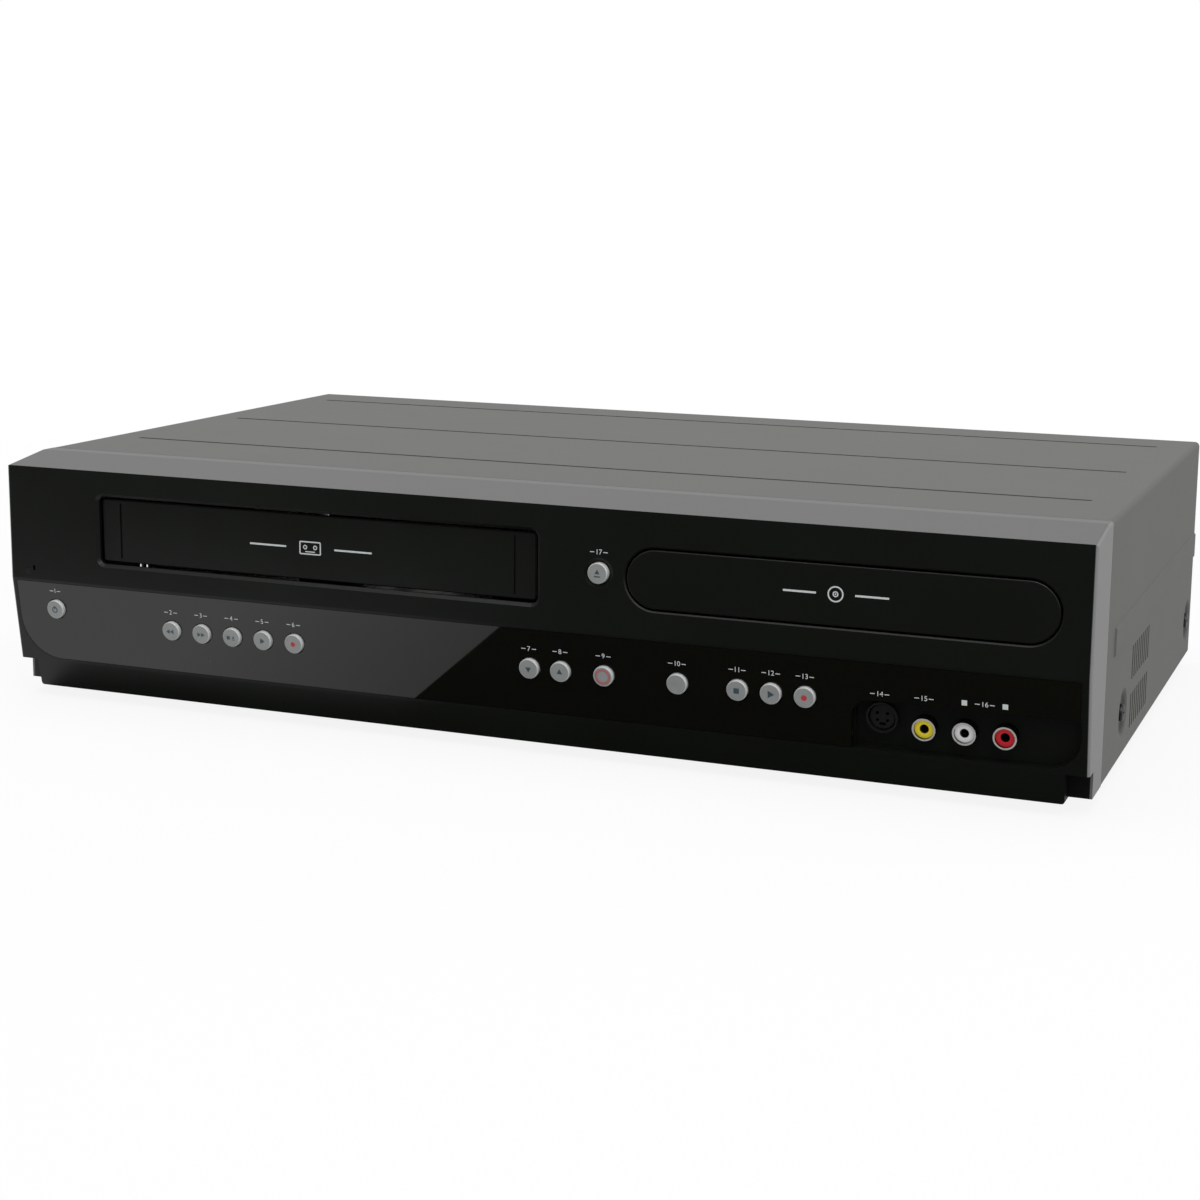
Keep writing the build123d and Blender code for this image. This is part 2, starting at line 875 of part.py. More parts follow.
# ------------------------------------------------------------------ buttons
def button(wall, setback, proud):
    """A round cap with a flange behind the wall and a stem that reaches its switch."""
    tip = -setback + switch_body + switch_plunger + button_travel + running_clearance
    flange = -wall - button_flange_play
    cap = face_rod(button_radius, flange - eps, proud, 0, 0)
    cap = fillet(cap.faces().sort_by(Axis.Z)[-1].edges(), button_round)
    cap += face_rod(button_flange_radius, flange - button_flange_thickness, flange, 0, 0)
    return cap + face_rod(button_stem_radius, tip, flange - button_flange_thickness + eps, 0, 0)


def save_buttons(save):
    wall = window_thickness + window_backing
    for name, (x, height) in button_places().items():
        save(name, lower_face * Pos(x, up_lean(height)) * button(wall, board_setback, button_proud))
    eject = button(bezel_wall, eject_board_depth, button_proud)
    save("open_close_button", upper_face * Pos(eject_x, eject_height) * eject)


# ------------------------------------------------------------------ front board
def front_board():
    """The leaning board behind the window and the small upright one behind the tray button."""
    ends = half_width - bezel_wall - board_end_gap
    low = up_lean(board_bottom)
    high = up_lean(board_top)
    board = lower_face * face_block(-ends, ends, low, high, -board_setback - board_thickness, -board_setback)
    half = eject_board_size / 2
    small = block(
        eject_x - half,
        eject_x + half,
        eject_board_depth,
        eject_board_depth + board_thickness,
        eject_height - half,
        eject_height + half,
    )
    return board + small


def tact_switch():
    """A push switch standing on a board, seen along the button's axis."""
    half = switch_width / 2
    body = face_block(-half, half, -half, half, 0, switch_body)
    return body + face_rod(switch_plunger_radius, 0, switch_body + switch_plunger, 0, 0)


def tact_switches():
    switches = Part()
    for x, height in button_places().values():
        switches += lower_face * Pos(x, up_lean(height), -board_setback) * tact_switch()
    return switches + upper_face * Pos(eject_x, eject_height, -eject_board_depth) * tact_switch()


def display_tube():
    """The display behind the window, standing on the front board on two feet."""
    low = up_lean(display_bottom)
    high = up_lean(display_top)
    foot_drop = display_fit + display_foot_half
    face = -window_thickness - window_backing
    back = face - display_thickness
    left = display_left + display_fit
    right = display_right - display_fit
    tube = face_block(left, right, low + display_fit, high - display_fit, back, face + window_backing / 2)
    half = display_foot_half
    for x in (left + display_foot_inset, right - display_foot_inset):
        tube += face_block(x - half, x + half, low + foot_drop, high - foot_drop, -board_setback, back + eps)
    return lower_face * tube


def remote_receiver():
    """The remote control's receiver on the front board, with its round lens."""
    half = sensor_radius + 1
    lens = -window_thickness - 1
    body = face_block(-half, half, -half, half, -board_setback, -window_thickness - window_backing - 1)
    body += face_rod(sensor_radius, -board_setback, lens, 0, 0)
    return lower_face * Pos(sensor_x, up_lean(sensor_height)) * body


def lamps_and_receiver():
    """The power lamp's light guide, the two source lamps and the remote control's receiver."""
    board_front = lean_depth(board_top) + board_setback / slope_cos
    back = board_front - light_guide_gap
    front = back - 2 * light_guide_half
    lamps = rod_y(lamp_radius, 0, front + light_guide_half, power_lamp_x, power_lamp_height)
    left = power_lamp_x - light_guide_half
    low = board_top - light_guide_foot
    lamps += block(left, left + 2 * light_guide_half, front, back, low, power_lamp_height + light_guide_half)
    for side in (-1, 1):
        x = source_x + side * source_lamp_spread
        front = -window_thickness - source_lamp_gap
        lamp = face_rod(lamp_radius, -board_setback, front, x, up_lean(source_lamp_height))
        lamps += lower_face * lamp
    return lamps + remote_receiver()


# ------------------------------------------------------------------ front sockets
def s_video_socket():
    floor = -bay_depth - s_video_bay_depth
    body = face_rod(s_video_radius, -board_setback + eps, floor + s_video_proud, 0, 0)
    front = floor + s_video_proud
    bore = s_video_radius - s_video_wall
    body -= face_rod(bore, floor - s_video_well, front + 1, 0, 0)
    core = face_rod(bore - s_video_groove, floor - s_video_well - eps, front - 1, 0, 0)
    deep = floor - s_video_hole_depth
    for x in (-s_video_hole_spread, s_video_hole_spread):
        for up in (-s_video_hole_rise, s_video_hole_rise):
            core -= face_rod(s_video_hole_radius, deep, front, x, up)
    key = s_video_key
    low = -key - s_video_hole_rise - s_video_hole_radius
    core -= face_block(-key, key, low, low + 1, deep, front)
    body += core
    half = socket_body_width / 2
    housing = face_block(-half, half, -half, half, -board_setback, floor - bay_wall - 1)
    return lower_face * Pos(s_video_x, up_lean(s_video_height)) * (body + housing)


def rca_shell(out0, out1):
    return face_rod(rca_radius, out0, out1, 0, 0) - face_rod(rca_bore, out0 - 1, out1 + 1, 0, 0)


def front_jack_shells():
    shells = Part()
    front = -bay_depth + rca_proud
    back = -bay_depth - bay_wall - s_video_bay_depth
    for x in rca_xs():
        shells += lower_face * Pos(x, up_lean(rca_height)) * rca_shell(back, front)
    return shells


def front_jack_inserts():
    """The coloured insulators inside the shells, each with its housing on the front board."""
    inserts = Part()
    back = -bay_depth - bay_wall - s_video_bay_depth
    half = socket_body_width / 2
    for x in rca_xs():
        core = face_rod(rca_bore - socket_fit / 2, back - 1, -bay_depth + rca_proud - 1, 0, 0)
        core += face_block(-half, half, -half, half, -board_setback, back)
        core -= face_rod(rca_pin_bore, -board_setback + 3, -bay_depth + rca_proud, 0, 0)
        inserts += lower_face * Pos(x, up_lean(rca_height)) * core
    return inserts


# ------------------------------------------------------------------ cover
def side_dimple(depth, grow):
    """A round hollow pressed into the right side of the cover."""
    shape = Cone(dimple_floor_radius + grow, dimple_radius + grow, dimple_depth)
    return Pos(half_width - dimple_depth / 2, depth, dimple_height) * Rot(0, 90, 0) * shape


def side_band(outer, start):
    """The raised band along the right side of the cover, with sloping edges."""
    inner = [(start, band_bottom), (case_depth, band_bottom), (case_depth, band_top), (start, band_top)]
    face = make_face(Polyline(*inner, close=True))
    plane = Plane(origin=(outer, 0, 0), x_dir=(0, 1, 0), z_dir=(1, 0, 0))
    return extrude(plane.location * face, band_relief, taper=45)


def cover_shell():
    """The bent sheet: a top and two sides, with rounded bends and a flange down the back."""
    sketch = Rectangle(case_width, case_height - cover_foot)
    sketch = fillet(sketch.vertices().group_by(Axis.Y)[-1], bend_radius)
    inside = Rectangle(case_width - 2 * sheet, case_height - cover_foot)
    inside = fillet(inside.vertices().group_by(Axis.Y)[-1], bend_radius - sheet / 2)
    middle = (case_height + cover_foot) / 2
    plane = Plane(origin=(0, cover_front, middle), x_dir=(-1, 0, 0), z_dir=(0, 1, 0))
    shell = extrude(plane.location * sketch, case_depth - cover_front)
    shell -= extrude(plane.location * Pos(0, -sheet) * inside, case_depth - cover_front)
    edge = half_width - sheet / 2
    rear = block(-edge, edge, back_plane, case_depth, case_height - rear_flange, case_height - sheet / 2)
    return shell + rear


def top_cover():
    shell = cover_shell()
    for depth in groove_depths:
        rib = SlotOverall(groove_length + 2 * sheet, groove_width + 2 * sheet)
        groove = SlotOverall(groove_length, groove_width)
        shell += Pos(0, depth, case_height - sheet) * extrude(rib, -groove_depth)
        shell -= Pos(0, depth, case_height - groove_depth) * extrude(groove, 1)
    backing, cuts = side_details()
    shell = shell + both_sides(backing) - both_sides(cuts)
    for x in rear_screws:
        shell -= rod_y(screw_radius + screw_clearance, back_plane - 1, case_depth + 1, x, rear_screw_height)
    return shell


def side_details():
    """What is added to and cut from the right side of the cover."""
    inside = half_width - sheet
    backing = side_band(half_width - eps, band_start)
    cuts = Part()
    for depth in (front_dimple, rear_dimple):
        rear = block(
            inside - dimple_depth,
            inside + eps,
            depth - dimple_radius,
            depth + dimple_radius,
            dimple_height - dimple_radius,
            dimple_height + dimple_radius,
        )
        backing += rear & Pos(-sheet, 0, 0) * side_dimple(depth, sheet / 2)
        cuts += side_dimple(depth, 0)
        cuts += rod_x(
            screw_radius + screw_clearance, half_width - 6, half_width + 1, depth, dimple_height
        )
    for bottom in louvre_rows:
        for step in range(louvre_count):
            start = louvre_start + step * louvre_pitch
            stop = start + louvre_width
            cuts += block(inside - 1, half_width + 1, start, stop, bottom, bottom + louvre_height)
    return backing, cuts


# ------------------------------------------------------------------ base, back, feet and screws
def foot_places():
    xs = (foot_inset_x - half_width, half_width - foot_inset_x)
    ys = (cover_front + foot_inset_y, case_depth - foot_inset_y)
    return [(x, y) for x in xs for y in ys]


def chassis_base():
    back = back_plane - sheet
    base = block(-base_half, base_half, cover_front, back, base_height, base_top)
    lip = block(base_half - sheet, base_half, cover_front, back, base_height, base_top + base_lip)
    base += both_sides(lip)
    for depth in (front_dimple, rear_dimple):
        half = dimple_radius
        stop = min(depth + half, back)
        tab = block(base_half - sheet, base_half, depth - half, stop, base_height, dimple_height + half)
        hole = rod_x(screw_radius + screw_clearance, base_half - 3, base_half + 3, depth, dimple_height)
        base += both_sides(tab - hole)
    for x, y in board_post_places():
        base += rod_z(post_radius + 1, base_top - eps, main_board_height, x, y)
    for x, y in foot_places():
        base -= rod_z(screw_radius + screw_clearance, base_height - 1, base_top + 1, x, y)
    for side in (-1, 1):
        for step in range(base_vent_count):
            y = case_depth / 2 + step * base_vent_pitch
            left = side * case_width / 4 - base_vent_length / 2
            right = left + base_vent_length
            base -= block(left, right, y, y + base_vent_width, base_height - 1, base_top + 1)
    return base


def feet():
    feet_group = Part()
    for x, y in foot_places():
        foot = rod_z(foot_radius, 0, base_height, x, y)
        foot = chamfer(foot.edges().group_by(Axis.Z)[0], 1)
        foot -= rod_z(screw_head_radius + 1, -1, base_height - 2, x, y)
        foot -= rod_z(screw_radius + screw_clearance, 0, base_height + 1, x, y)
        feet_group += foot
    return feet_group


def screw(length):
    """A round-headed screw that points down its own z axis, head up."""
    head = Cylinder(screw_head_radius, screw_head_height, align=(Align.CENTER, Align.CENTER, Align.MIN))
    head = fillet(head.faces().sort_by(Axis.Z)[-1].edges(), screw_head_height / 2)
    shank = Cylinder(screw_radius, length, align=(Align.CENTER, Align.CENTER, Align.MAX))
    slot = screw_slot
    cross = Box(screw_head_radius, slot, slot) + Box(slot, screw_head_radius, slot)
    return head + shank - Pos(0, 0, screw_head_height) * cross


def case_screws():
    screws = Part()
    seat = half_width - dimple_depth
    for depth in (front_dimple, rear_dimple):
        right = Pos(seat, depth, dimple_height) * Rot(0, 90, 0) * screw(screw_length)
        screws += both_sides(right)
    for x in rear_screws:
        screws += Pos(x, case_depth, rear_screw_height) * Rot(-90, 0, 0) * screw(screw_length)
    for x, y in foot_places():
        screws += Pos(x, y, base_height - 2) * Rot(180, 0, 0) * screw(screw_length)
    return screws


def rear_jack_places():
    """x and height of each round socket on the back."""
    places = []
    for column in range(rear_jack_columns):
        for row in range(rear_jack_rows):
            x = rear_jack_first_x + column * rear_jack_pitch_x
            places.append((x, rear_jack_low + row * rear_jack_pitch_z))
    return places


def rear_panel():
    top = case_height - sheet - slide_clearance
    panel = block(-base_half, base_half, back_plane - sheet, back_plane, base_height, top)
    for x, z in rear_jack_places():
        panel -= rod_y(rca_radius + socket_fit, back_plane - 3, back_plane + 1, x, z)
    for side in (-1, 1):
        x = tuner_x + side * aerial_spacing / 2
        height = rear_jack_low + aerial_rise
        panel -= rod_y(aerial_radius + socket_fit, back_plane - 3, back_plane + 1, x, height)
    hole = bushing_radius - bushing_lip
    panel -= rod_y(hole, back_plane - 3, back_plane + 1, cord_x, cord_height)
    for x in rear_screws:
        panel -= rod_y(screw_radius + screw_clearance, back_plane - 3, back_plane + 1, x, rear_screw_height)
    for step in range(rear_vent_count):
        x = rear_vent_inset - half_width + step * rear_vent_pitch
        right = x + rear_vent_width
        panel -= block(x, right, back_plane - 3, back_plane + 1, rear_vent_low, rear_vent_high)
    return panel


def rear_jacks():
    """The block of round sockets that pokes through the back."""
    left = rear_jack_first_x - rear_jack_pitch_x / 2
    right = left + rear_jack_columns * rear_jack_pitch_x
    top = rear_jack_low + (rear_jack_rows - 0.5) * rear_jack_pitch_z
    inside = back_plane - sheet
    jacks = block(left, right, inside - rear_jack_block_depth, inside, board_top_face, top)
    for x, z in rear_jack_places():
        jacks += rod_y(rca_radius, inside - eps, case_depth + rear_jack_reach, x, z)
        jacks -= rod_y(rca_bore, case_depth, case_depth + rear_jack_reach + 1, x, z)
        jacks += rod_y(rca_bore - rca_groove, inside, case_depth + rear_jack_reach - 1, x, z)
        jacks -= rod_y(rca_pin_bore, case_depth, case_depth + rear_jack_reach, x, z)
    return jacks


def tuner_module():
    """The screened tuner with its two aerial sockets."""
    inside = back_plane - sheet
    left = tuner_x - tuner_width / 2
    top = board_top_face + tuner_height
    can = block(left, left + tuner_width, inside - tuner_length, inside, board_top_face, top)
    for side in (-1, 1):
        x = tuner_x + side * aerial_spacing / 2
        z = rear_jack_low + aerial_rise
        can += rod_y(aerial_radius, inside - eps, case_depth + rear_jack_reach, x, z)
        can -= rod_y(aerial_bore, case_depth, case_depth + rear_jack_reach + 1, x, z)
    return can


def cord_bushing():
    """The bushing in the back that a mains cord would come through."""
    neck = bushing_radius - bushing_lip - socket_fit
    ring = rod_y(bushing_radius, back_plane, back_plane + bushing_reach, cord_x, cord_height)
    ring += rod_y(neck, back_plane - sheet, back_plane + eps, cord_x, cord_height)
    inside = back_plane - sheet
    ring += rod_y(bushing_radius, inside - bushing_catch, inside, cord_x, cord_height)
    return ring - rod_y(cord_hole_radius, back_plane - 9, back_plane + 9, cord_x, cord_height)


# ------------------------------------------------------------------ boards
def deck_leg_places():
    reach = bracket_inner - deck_leg_radius
    depths = (deck_front + deck_leg_inset, deck_back - deck_rear_leg_inset)
    return [(deck_x + side * reach, y) for side in (-1, 1) for y in depths]


def board_post_places():
    left = board_edge_gap - base_half + board_hole_inset
    front = main_board_front + 2 * board_hole_inset
    back = back_plane - 3 * board_hole_inset
    spots = [(left, front), (left, back), (main_board_right - board_hole_inset, front)]
    for x in (power_board_left + power_hole_inset, power_board_right - power_hole_inset):
        spots += [(x, power_board_front + power_hole_inset), (x, power_board_back - power_hole_inset)]
    right = rear_strip_right - board_hole_inset
    return spots + [(right, back), (right, rear_strip_front + board_hole_inset)]


def main_board():
    """The main circuit board under the deck, with its larger parts."""
    left = board_edge_gap - base_half
    back = back_plane - sheet - board_back_gap
    points = [
        (left, main_board_front),
        (main_board_right, main_board_front),
        (main_board_right, rear_strip_front),
        (rear_strip_right, rear_strip_front),
        (rear_strip_right, back),
        (left, back),
    ]
    board = prism_z(points, main_board_height, board_top_face)
    for x, y in deck_leg_places():
        board -= rod_z(deck_leg_radius + 1, main_board_height - 1, board_top_face + 1, x, y)
    top = board_top_face + chip_height
    for x, y, width in chips:
        half = width / 2
        board += block(deck_x + x - half, deck_x + x + half, y, y + width, board_top_face - eps, top)
    return board


def power_board():
    left = power_board_left
    right = power_board_right
    board = block(left, right, power_board_front, power_board_back, main_board_height, board_top_face)
    front = power_board_front + fuse_from_front
    x = right - fuse_inset
    return board + rod_y(fuse_radius, front, front + fuse_length, x, board_top_face + fuse_radius - eps)


def power_parts():
    """The transformer, its winding showing above and below the core, and a row of capacitors."""
    x = power_board_left + transformer_inset
    y = power_board_back - transformer_from_back
    z = board_top_face
    top = z + transformer_height
    side = core_width / 2
    reach = core_depth / 2
    parts = block(x - side, x + side, y - reach, y + reach, z + core_inset, top - core_inset)
    side = winding_width / 2
    reach = winding_depth / 2
    parts += block(x - side, x + side, y - reach, y + reach, z, top)
    for step in range(capacitor_count):
        y = power_board_front + power_parts_front + step * capacitor_pitch
        can = rod_z(capacitor_radius, z, z + capacitor_height, power_board_right - capacitor_inset, y)
        parts += fillet(can.edges().group_by(Axis.Z)[-1], 1)
    return parts


def heat_sink():
    x = power_board_left + heat_sink_inset
    y0 = power_board_front + power_parts_front
    pitch = heat_sink_pitch
    length = (heat_sink_fins - 1) * pitch + heat_sink_fin
    half = heat_sink_web / 2
    sink = block(x - half, x + half, y0, y0 + length, board_top_face, board_top_face + heat_sink_height)
    for step in range(heat_sink_fins):
        y = y0 + step * pitch
        stop = y + heat_sink_fin
        sink += block(x, x + heat_sink_reach, y, stop, board_top_face, board_top_face + heat_sink_height)
    return sink


# ------------------------------------------------------------------ gears and racks
def rack_start(gear_depth, front, module):
    """Depth of the first gap of a rack, at or behind a front limit, that lines up with its gear."""
    pitch = math.pi * module
    return gear_depth - math.floor((gear_depth - front) / pitch) * pitch


def flank_angle(teeth, module, radius):
    """Half the angle of an involute tooth at a radius, less a little play."""
    pressure = math.radians(pressure_angle)
    pitch_radius = teeth * module / 2
    base_radius = pitch_radius * math.cos(pressure)
    here = math.acos(min(1.0, base_radius / radius))
    play = tooth_play * module / pitch_radius
    involute = math.tan(pressure) - pressure - math.tan(here) + here
    return math.pi / 2 / teeth + involute - play


def gear(teeth, module, thickness):
    """A spur gear round its own z axis, with a tooth on the x axis, from z 0 up."""
    pitch_radius = teeth * module / 2
    tip = rack_addendum * module
    radii = [pitch_radius - rack_dedendum * module, pitch_radius, pitch_radius + tip / 2, pitch_radius + tip]
    points = []
    for tooth in range(teeth):
        middle = 2 * math.pi * tooth / teeth
        for side in (-1, 1):
            for radius in radii[:: -side]:
                angle = middle + side * flank_angle(teeth, module, radius)
                points.append((radius * math.cos(angle), radius * math.sin(angle)))
    return prism_z(points, 0, thickness)


def rack(length, module, thickness, height):
    """A rack along y with its teeth towards -x, pitch line on x 0, a gap centred on y 0."""
    pitch = math.pi * module
    slope = math.tan(math.radians(pressure_angle))
    tip = rack_addendum * module
    root = rack_dedendum * module
    half = pitch / 4 - tooth_play * module
    count = int(length / pitch)
    points = [(height, 0.0), (root, 0.0)]
    for step in range(count):
        middle = (step + 0.5) * pitch
        points.append((root, middle - half - root * slope))
        points.append((-tip, middle - half + tip * slope))
        points.append((-tip, middle + half - tip * slope))
        points.append((root, middle + half + root * slope))
    points += [(root, count * pitch), (height, count * pitch)]
    return prism_z(points, 0, thickness)


# ------------------------------------------------------------------ cassette deck
def guide_path(side):
    """Start point and run of a tape guide along the deck plate."""
    start = (deck_x + side * guide_offset, guide_front)
    return start, (side * guide_run_out, guide_run)


def guide_slot(side, width, low, high):
    start, run = guide_path(side)
    length = math.hypot(*run)
    angle = math.degrees(math.atan2(run[1], run[0]))
    middle = Pos(start[0] + run[0] / 2, start[1] + run[1] / 2, low) * Rot(0, 0, angle)
    return middle * extrude(SlotOverall(length + width, width), high - low)


def deck_bracket():
    """The right-hand side plate of the deck, with the long slot for the carriage's pins."""
    plate = block(
        deck_x + bracket_inner, deck_x + bracket_outer, deck_front, bracket_back, deck_top - eps, bracket_top
    )
    slot = carriage_pin_radius + running_clearance
    front = carriage_pin_depths[0] - slot
    back = carriage_pin_depths[-1] + cassette_travel + slot
    plate -= block(
        deck_x + bracket_inner - 1, deck_x + bracket_outer + 1, front, back, carriage_pin_height - slot,
        carriage_pin_height + slot
    )
    return plate


def deck_mirror(shape):
    """The mirror image of a piece across the middle of the deck."""
    return mirror(shape, about=Plane(origin=(deck_x, 0, 0), z_dir=(1, 0, 0)))


def loading_gear_height():
    """Height of the loading gear's axis, under the pitch line of the carriage's rack."""
    return carriage_bottom - rack_addendum * gear_module - gear_module * loading_gear_teeth / 2


def deck_chassis():
    """The deck's plate with its side plates, legs and shafts."""
    left = deck_x - bracket_outer
    deck = block(left, deck_x + bracket_outer, deck_front, deck_back, deck_plate_height, deck_top)
    for x, y in deck_leg_places():
        deck += rod_z(deck_leg_radius, base_top, deck_plate_height + eps, x, y)
    bracket = deck_bracket()
    deck += bracket + deck_mirror(bracket)
    for side in (-1, 1):
        deck -= guide_slot(side, 5.0, deck_plate_height - 1, deck_top + 1)
        x = deck_x + side * reel_spacing / 2
        deck += rod_z(reel_shaft_radius, deck_top - eps, reel_top - 1, x, reel_depth)
    deck += rod_z(
        reel_shaft_radius, deck_top - eps, deck_top + 8, deck_x + pinch_pivot_offset, pinch_pivot_depth
    )
    deck += rod_x(
        carriage_pin_radius, deck_x + carriage_inner, deck_x + bracket_inner + eps, loading_gear_depth,
        loading_gear_height()
    )
    hole = capstan_radius + running_clearance
    return deck - rod_z(hole, deck_plate_height - 1, deck_top + 1, deck_x + capstan_offset, capstan_depth)


def cassette_carriage():
    """The two plates and cross bar that carry the holder into the deck, with the driving rack."""
    left = deck_x + carriage_inner
    right = deck_x + carriage_outer
    plate = block(left, right, carriage_front, carriage_back, carriage_bottom, carriage_top)
    slot = holder_pin_radius + running_clearance
    for y in holder_pin_depths:
        low = holder_pin_height - cassette_drop - slot
        plate -= block(left - 1, right + 1, y - slot, y + slot, low, holder_pin_height + slot)
    for y in carriage_pin_depths:
        plate += rod_x(carriage_pin_radius, right - eps, deck_x + bracket_outer, y, carriage_pin_height)
    bar_depth = carriage_back - 2 * carriage_bar_radius
    bar_height = carriage_top + carriage_bar_radius - carriage_bar_sink
    bar = rod_x(carriage_bar_radius, deck_x - carriage_outer, right, bar_depth, bar_height)
    start = rack_start(loading_gear_depth, carriage_front, gear_module)
    teeth = rack(carriage_rack_end - start, gear_module, rack_thickness, carriage_rack_height)
    pitch_line = carriage_bottom - rack_addendum * gear_module
    place = Pos(deck_x + carriage_inner + rack_thickness, start, pitch_line) * Rot(0, -90, 0)
    return plate + deck_mirror(plate) + bar + place * teeth


def holder_side():
    """The right-hand channel of the cassette holder."""
    inner = deck_x + holder_inner_width / 2
    outer = deck_x + holder_half
    back = holder_front + holder_length
    side = block(inner, outer, holder_front, back, holder_floor, holder_top)
    side += block(outer - holder_ledge, outer, holder_front, back, holder_floor, holder_floor + holder_sheet)
    side += block(outer - holder_stop_width, outer, back - holder_sheet, back, holder_floor, holder_top)
    for y in holder_pin_depths:
        side += rod_x(holder_pin_radius, outer - eps, deck_x + carriage_outer + 0.2, y, holder_pin_height)
    return side


def cassette_holder():
    """The open box that takes the cassette: two channels joined by a top with a window in it."""
    channel = holder_side()
    back = holder_front + holder_length
    left_x = deck_x - holder_half
    top = block(left_x, deck_x + holder_half, holder_front, back, holder_top - holder_sheet, holder_top)
    side = holder_window_side
    left = left_x + side
    right = deck_x + holder_half - side
    end = holder_window_end
    top -= block(left, right, holder_front + end, back - end, holder_top - 3, holder_top + 1)
    return channel + deck_mirror(channel) + top


def loading_gear():
    """The gear that drives the carriage's rack, on a stub of the right side plate."""
    wheel = gear(loading_gear_teeth, gear_module, rack_thickness)
    wheel -= rod_z(carriage_pin_radius + running_clearance, -1, rack_thickness + 1, 0, 0)
    turned = Rot(0, 90, 0) * Rot(0, 0, 180) * wheel
    return Pos(deck_x + carriage_inner, loading_gear_depth, loading_gear_height()) * turned


def reel(side):
    x = deck_x + side * reel_spacing / 2
    low = deck_top + 1
    table = rod_z(reel_table_radius, low, low + reel_table_thickness, x, reel_depth)
    table += rod_z(reel_hub_radius, low, reel_top, x, reel_depth)
    for angle in (0, 120, 240):
        half = reel_fin_half
        fin = block(0, reel_hub_radius + 2 * half, -half, half, low, reel_top - 2)
        table += Pos(x, reel_depth, 0) * Rot(0, 0, angle) * fin
    table += rod_z(reel_shaft_radius + 2 * reel_fin_half, deck_top, low + eps, x, reel_depth)
    return table - rod_z(reel_shaft_radius + running_clearance, 0, reel_top + 1, x, reel_depth)


def drum_place():
    return Pos(deck_x, drum_depth, drum_split) * Rot(drum_lean, 0, 0)


def lower_drum():
    """The fixed lower half of the head drum on its leaning base, with the shaft."""
    depth = drum_split - deck_top
    foot = drum_foot_inset
    base = rod_z(drum_radius - foot, deck_top, drum_split - 2 * foot, deck_x, drum_depth)
    half = drum_place() * Cylinder(drum_radius, depth - foot, align=(Align.CENTER, Align.CENTER, Align.MAX))
    reach = 2 * drum_radius
    near = drum_depth - reach
    half -= block(deck_x - reach, deck_x + reach, near, near + 2 * reach, deck_top - reach, deck_top)
    shaft = extrude(Circle(drum_shaft_radius), drum_top - drum_split - drum_shaft_inset)
    return half + base + drum_place() * shaft


def upper_drum():
    """The spinning upper half with its hub and head windows."""
    height = drum_top - drum_split
    drum = Pos(0, 0, drum_gap) * Cylinder(
        drum_radius, height - drum_gap, align=(Align.CENTER, Align.CENTER, Align.MIN)
    )
    drum = chamfer(drum.edges().group_by(Axis.Z)[-1], small_round)
    drum += rod_z(drum_hub_radius, height - eps, height + drum_hub_rise, 0, 0)
    drum -= rod_z(drum_shaft_radius + running_clearance, -1, height - 1, 0, 0)
    for side in (-1, 1):
        half = head_window / 2
        middle = side * drum_radius
        drum -= block(middle - 2, middle + 2, -half, half, drum_gap - 1, drum_gap + half)
    return drum_place() * drum


def capstan():
    x = deck_x + capstan_offset
    wheel = rod_z(flywheel_radius, flywheel_bottom, flywheel_top, x, capstan_depth)
    wheel = chamfer(wheel.edges(), small_round)
    boss_top = deck_plate_height - running_clearance
    wheel += rod_z(capstan_boss_radius, flywheel_top - eps, boss_top, x, capstan_depth)
    return wheel + rod_z(capstan_radius, flywheel_top, capstan_top, x, capstan_depth)


def pinch_pivot():
    return deck_x + pinch_pivot_offset, pinch_pivot_depth


def pinch_roller_centre():
    x, y = pinch_pivot()
    angle = math.radians(pinch_rest_angle)
    return x + pinch_arm_length * math.cos(angle), y + pinch_arm_length * math.sin(angle)


def pinch_arm():
    """The swinging arm, its boss on the deck's pivot and the roller's shaft."""
    x, y = pinch_pivot()
    roller_x, roller_y = pinch_roller_centre()
    low = deck_top + pinch_arm_thickness
    outline = SlotOverall(pinch_arm_length + pinch_arm_width, pinch_arm_width)
    middle = Pos((x + roller_x) / 2, (y + roller_y) / 2, low) * Rot(0, 0, pinch_rest_angle)
    arm = middle * extrude(outline, pinch_arm_thickness)
    boss_top = deck_top + pinch_boss_height
    arm += rod_z(pinch_boss_radius, deck_top, boss_top, x, y)
    arm -= rod_z(reel_shaft_radius + running_clearance, deck_top - 1, boss_top - 0.5, x, y)
    shaft_top = deck_top + pinch_roller_top + pinch_arm_thickness
    return arm + rod_z(reel_shaft_radius, low + 1, shaft_top, roller_x, roller_y)


def pinch_roller():
    x, y = pinch_roller_centre()
    low = deck_top + pinch_roller_bottom
    top = deck_top + pinch_roller_top
    roller = rod_z(pinch_roller_radius, low, top, x, y)
    return roller - rod_z(reel_shaft_radius + running_clearance, low - 1, top + 1, x, y)


def tape_guide(side):
    """A roller post on a slider that runs in a slot of the deck plate."""
    start, run = guide_path(side)
    angle = math.degrees(math.atan2(run[1], run[0]))
    half = guide_slider_width / 2
    reach = guide_slider_length / 2
    top = deck_top + guide_slider_height
    under = deck_plate_height - running_clearance
    slider = block(-half, half, -reach, reach, deck_top + running_clearance, top)
    slider += rod_z(guide_neck_radius, under - eps, deck_top + 1, 0, 0)
    slider += rod_z(reach, deck_plate_height - guide_slider_height, under, 0, 0)
    slider += rod_z(guide_roller_radius, top - eps, guide_roller_top, 0, 0)
    flange = guide_roller_radius + 1
    slider += rod_z(flange, guide_roller_top - eps, guide_roller_top + guide_flange_thickness, 0, 0)
    slider += rod_z(flange, top - eps, top + guide_flange_thickness, 0, 0)
    return Pos(start[0], start[1], 0) * Rot(0, 0, angle) * slider


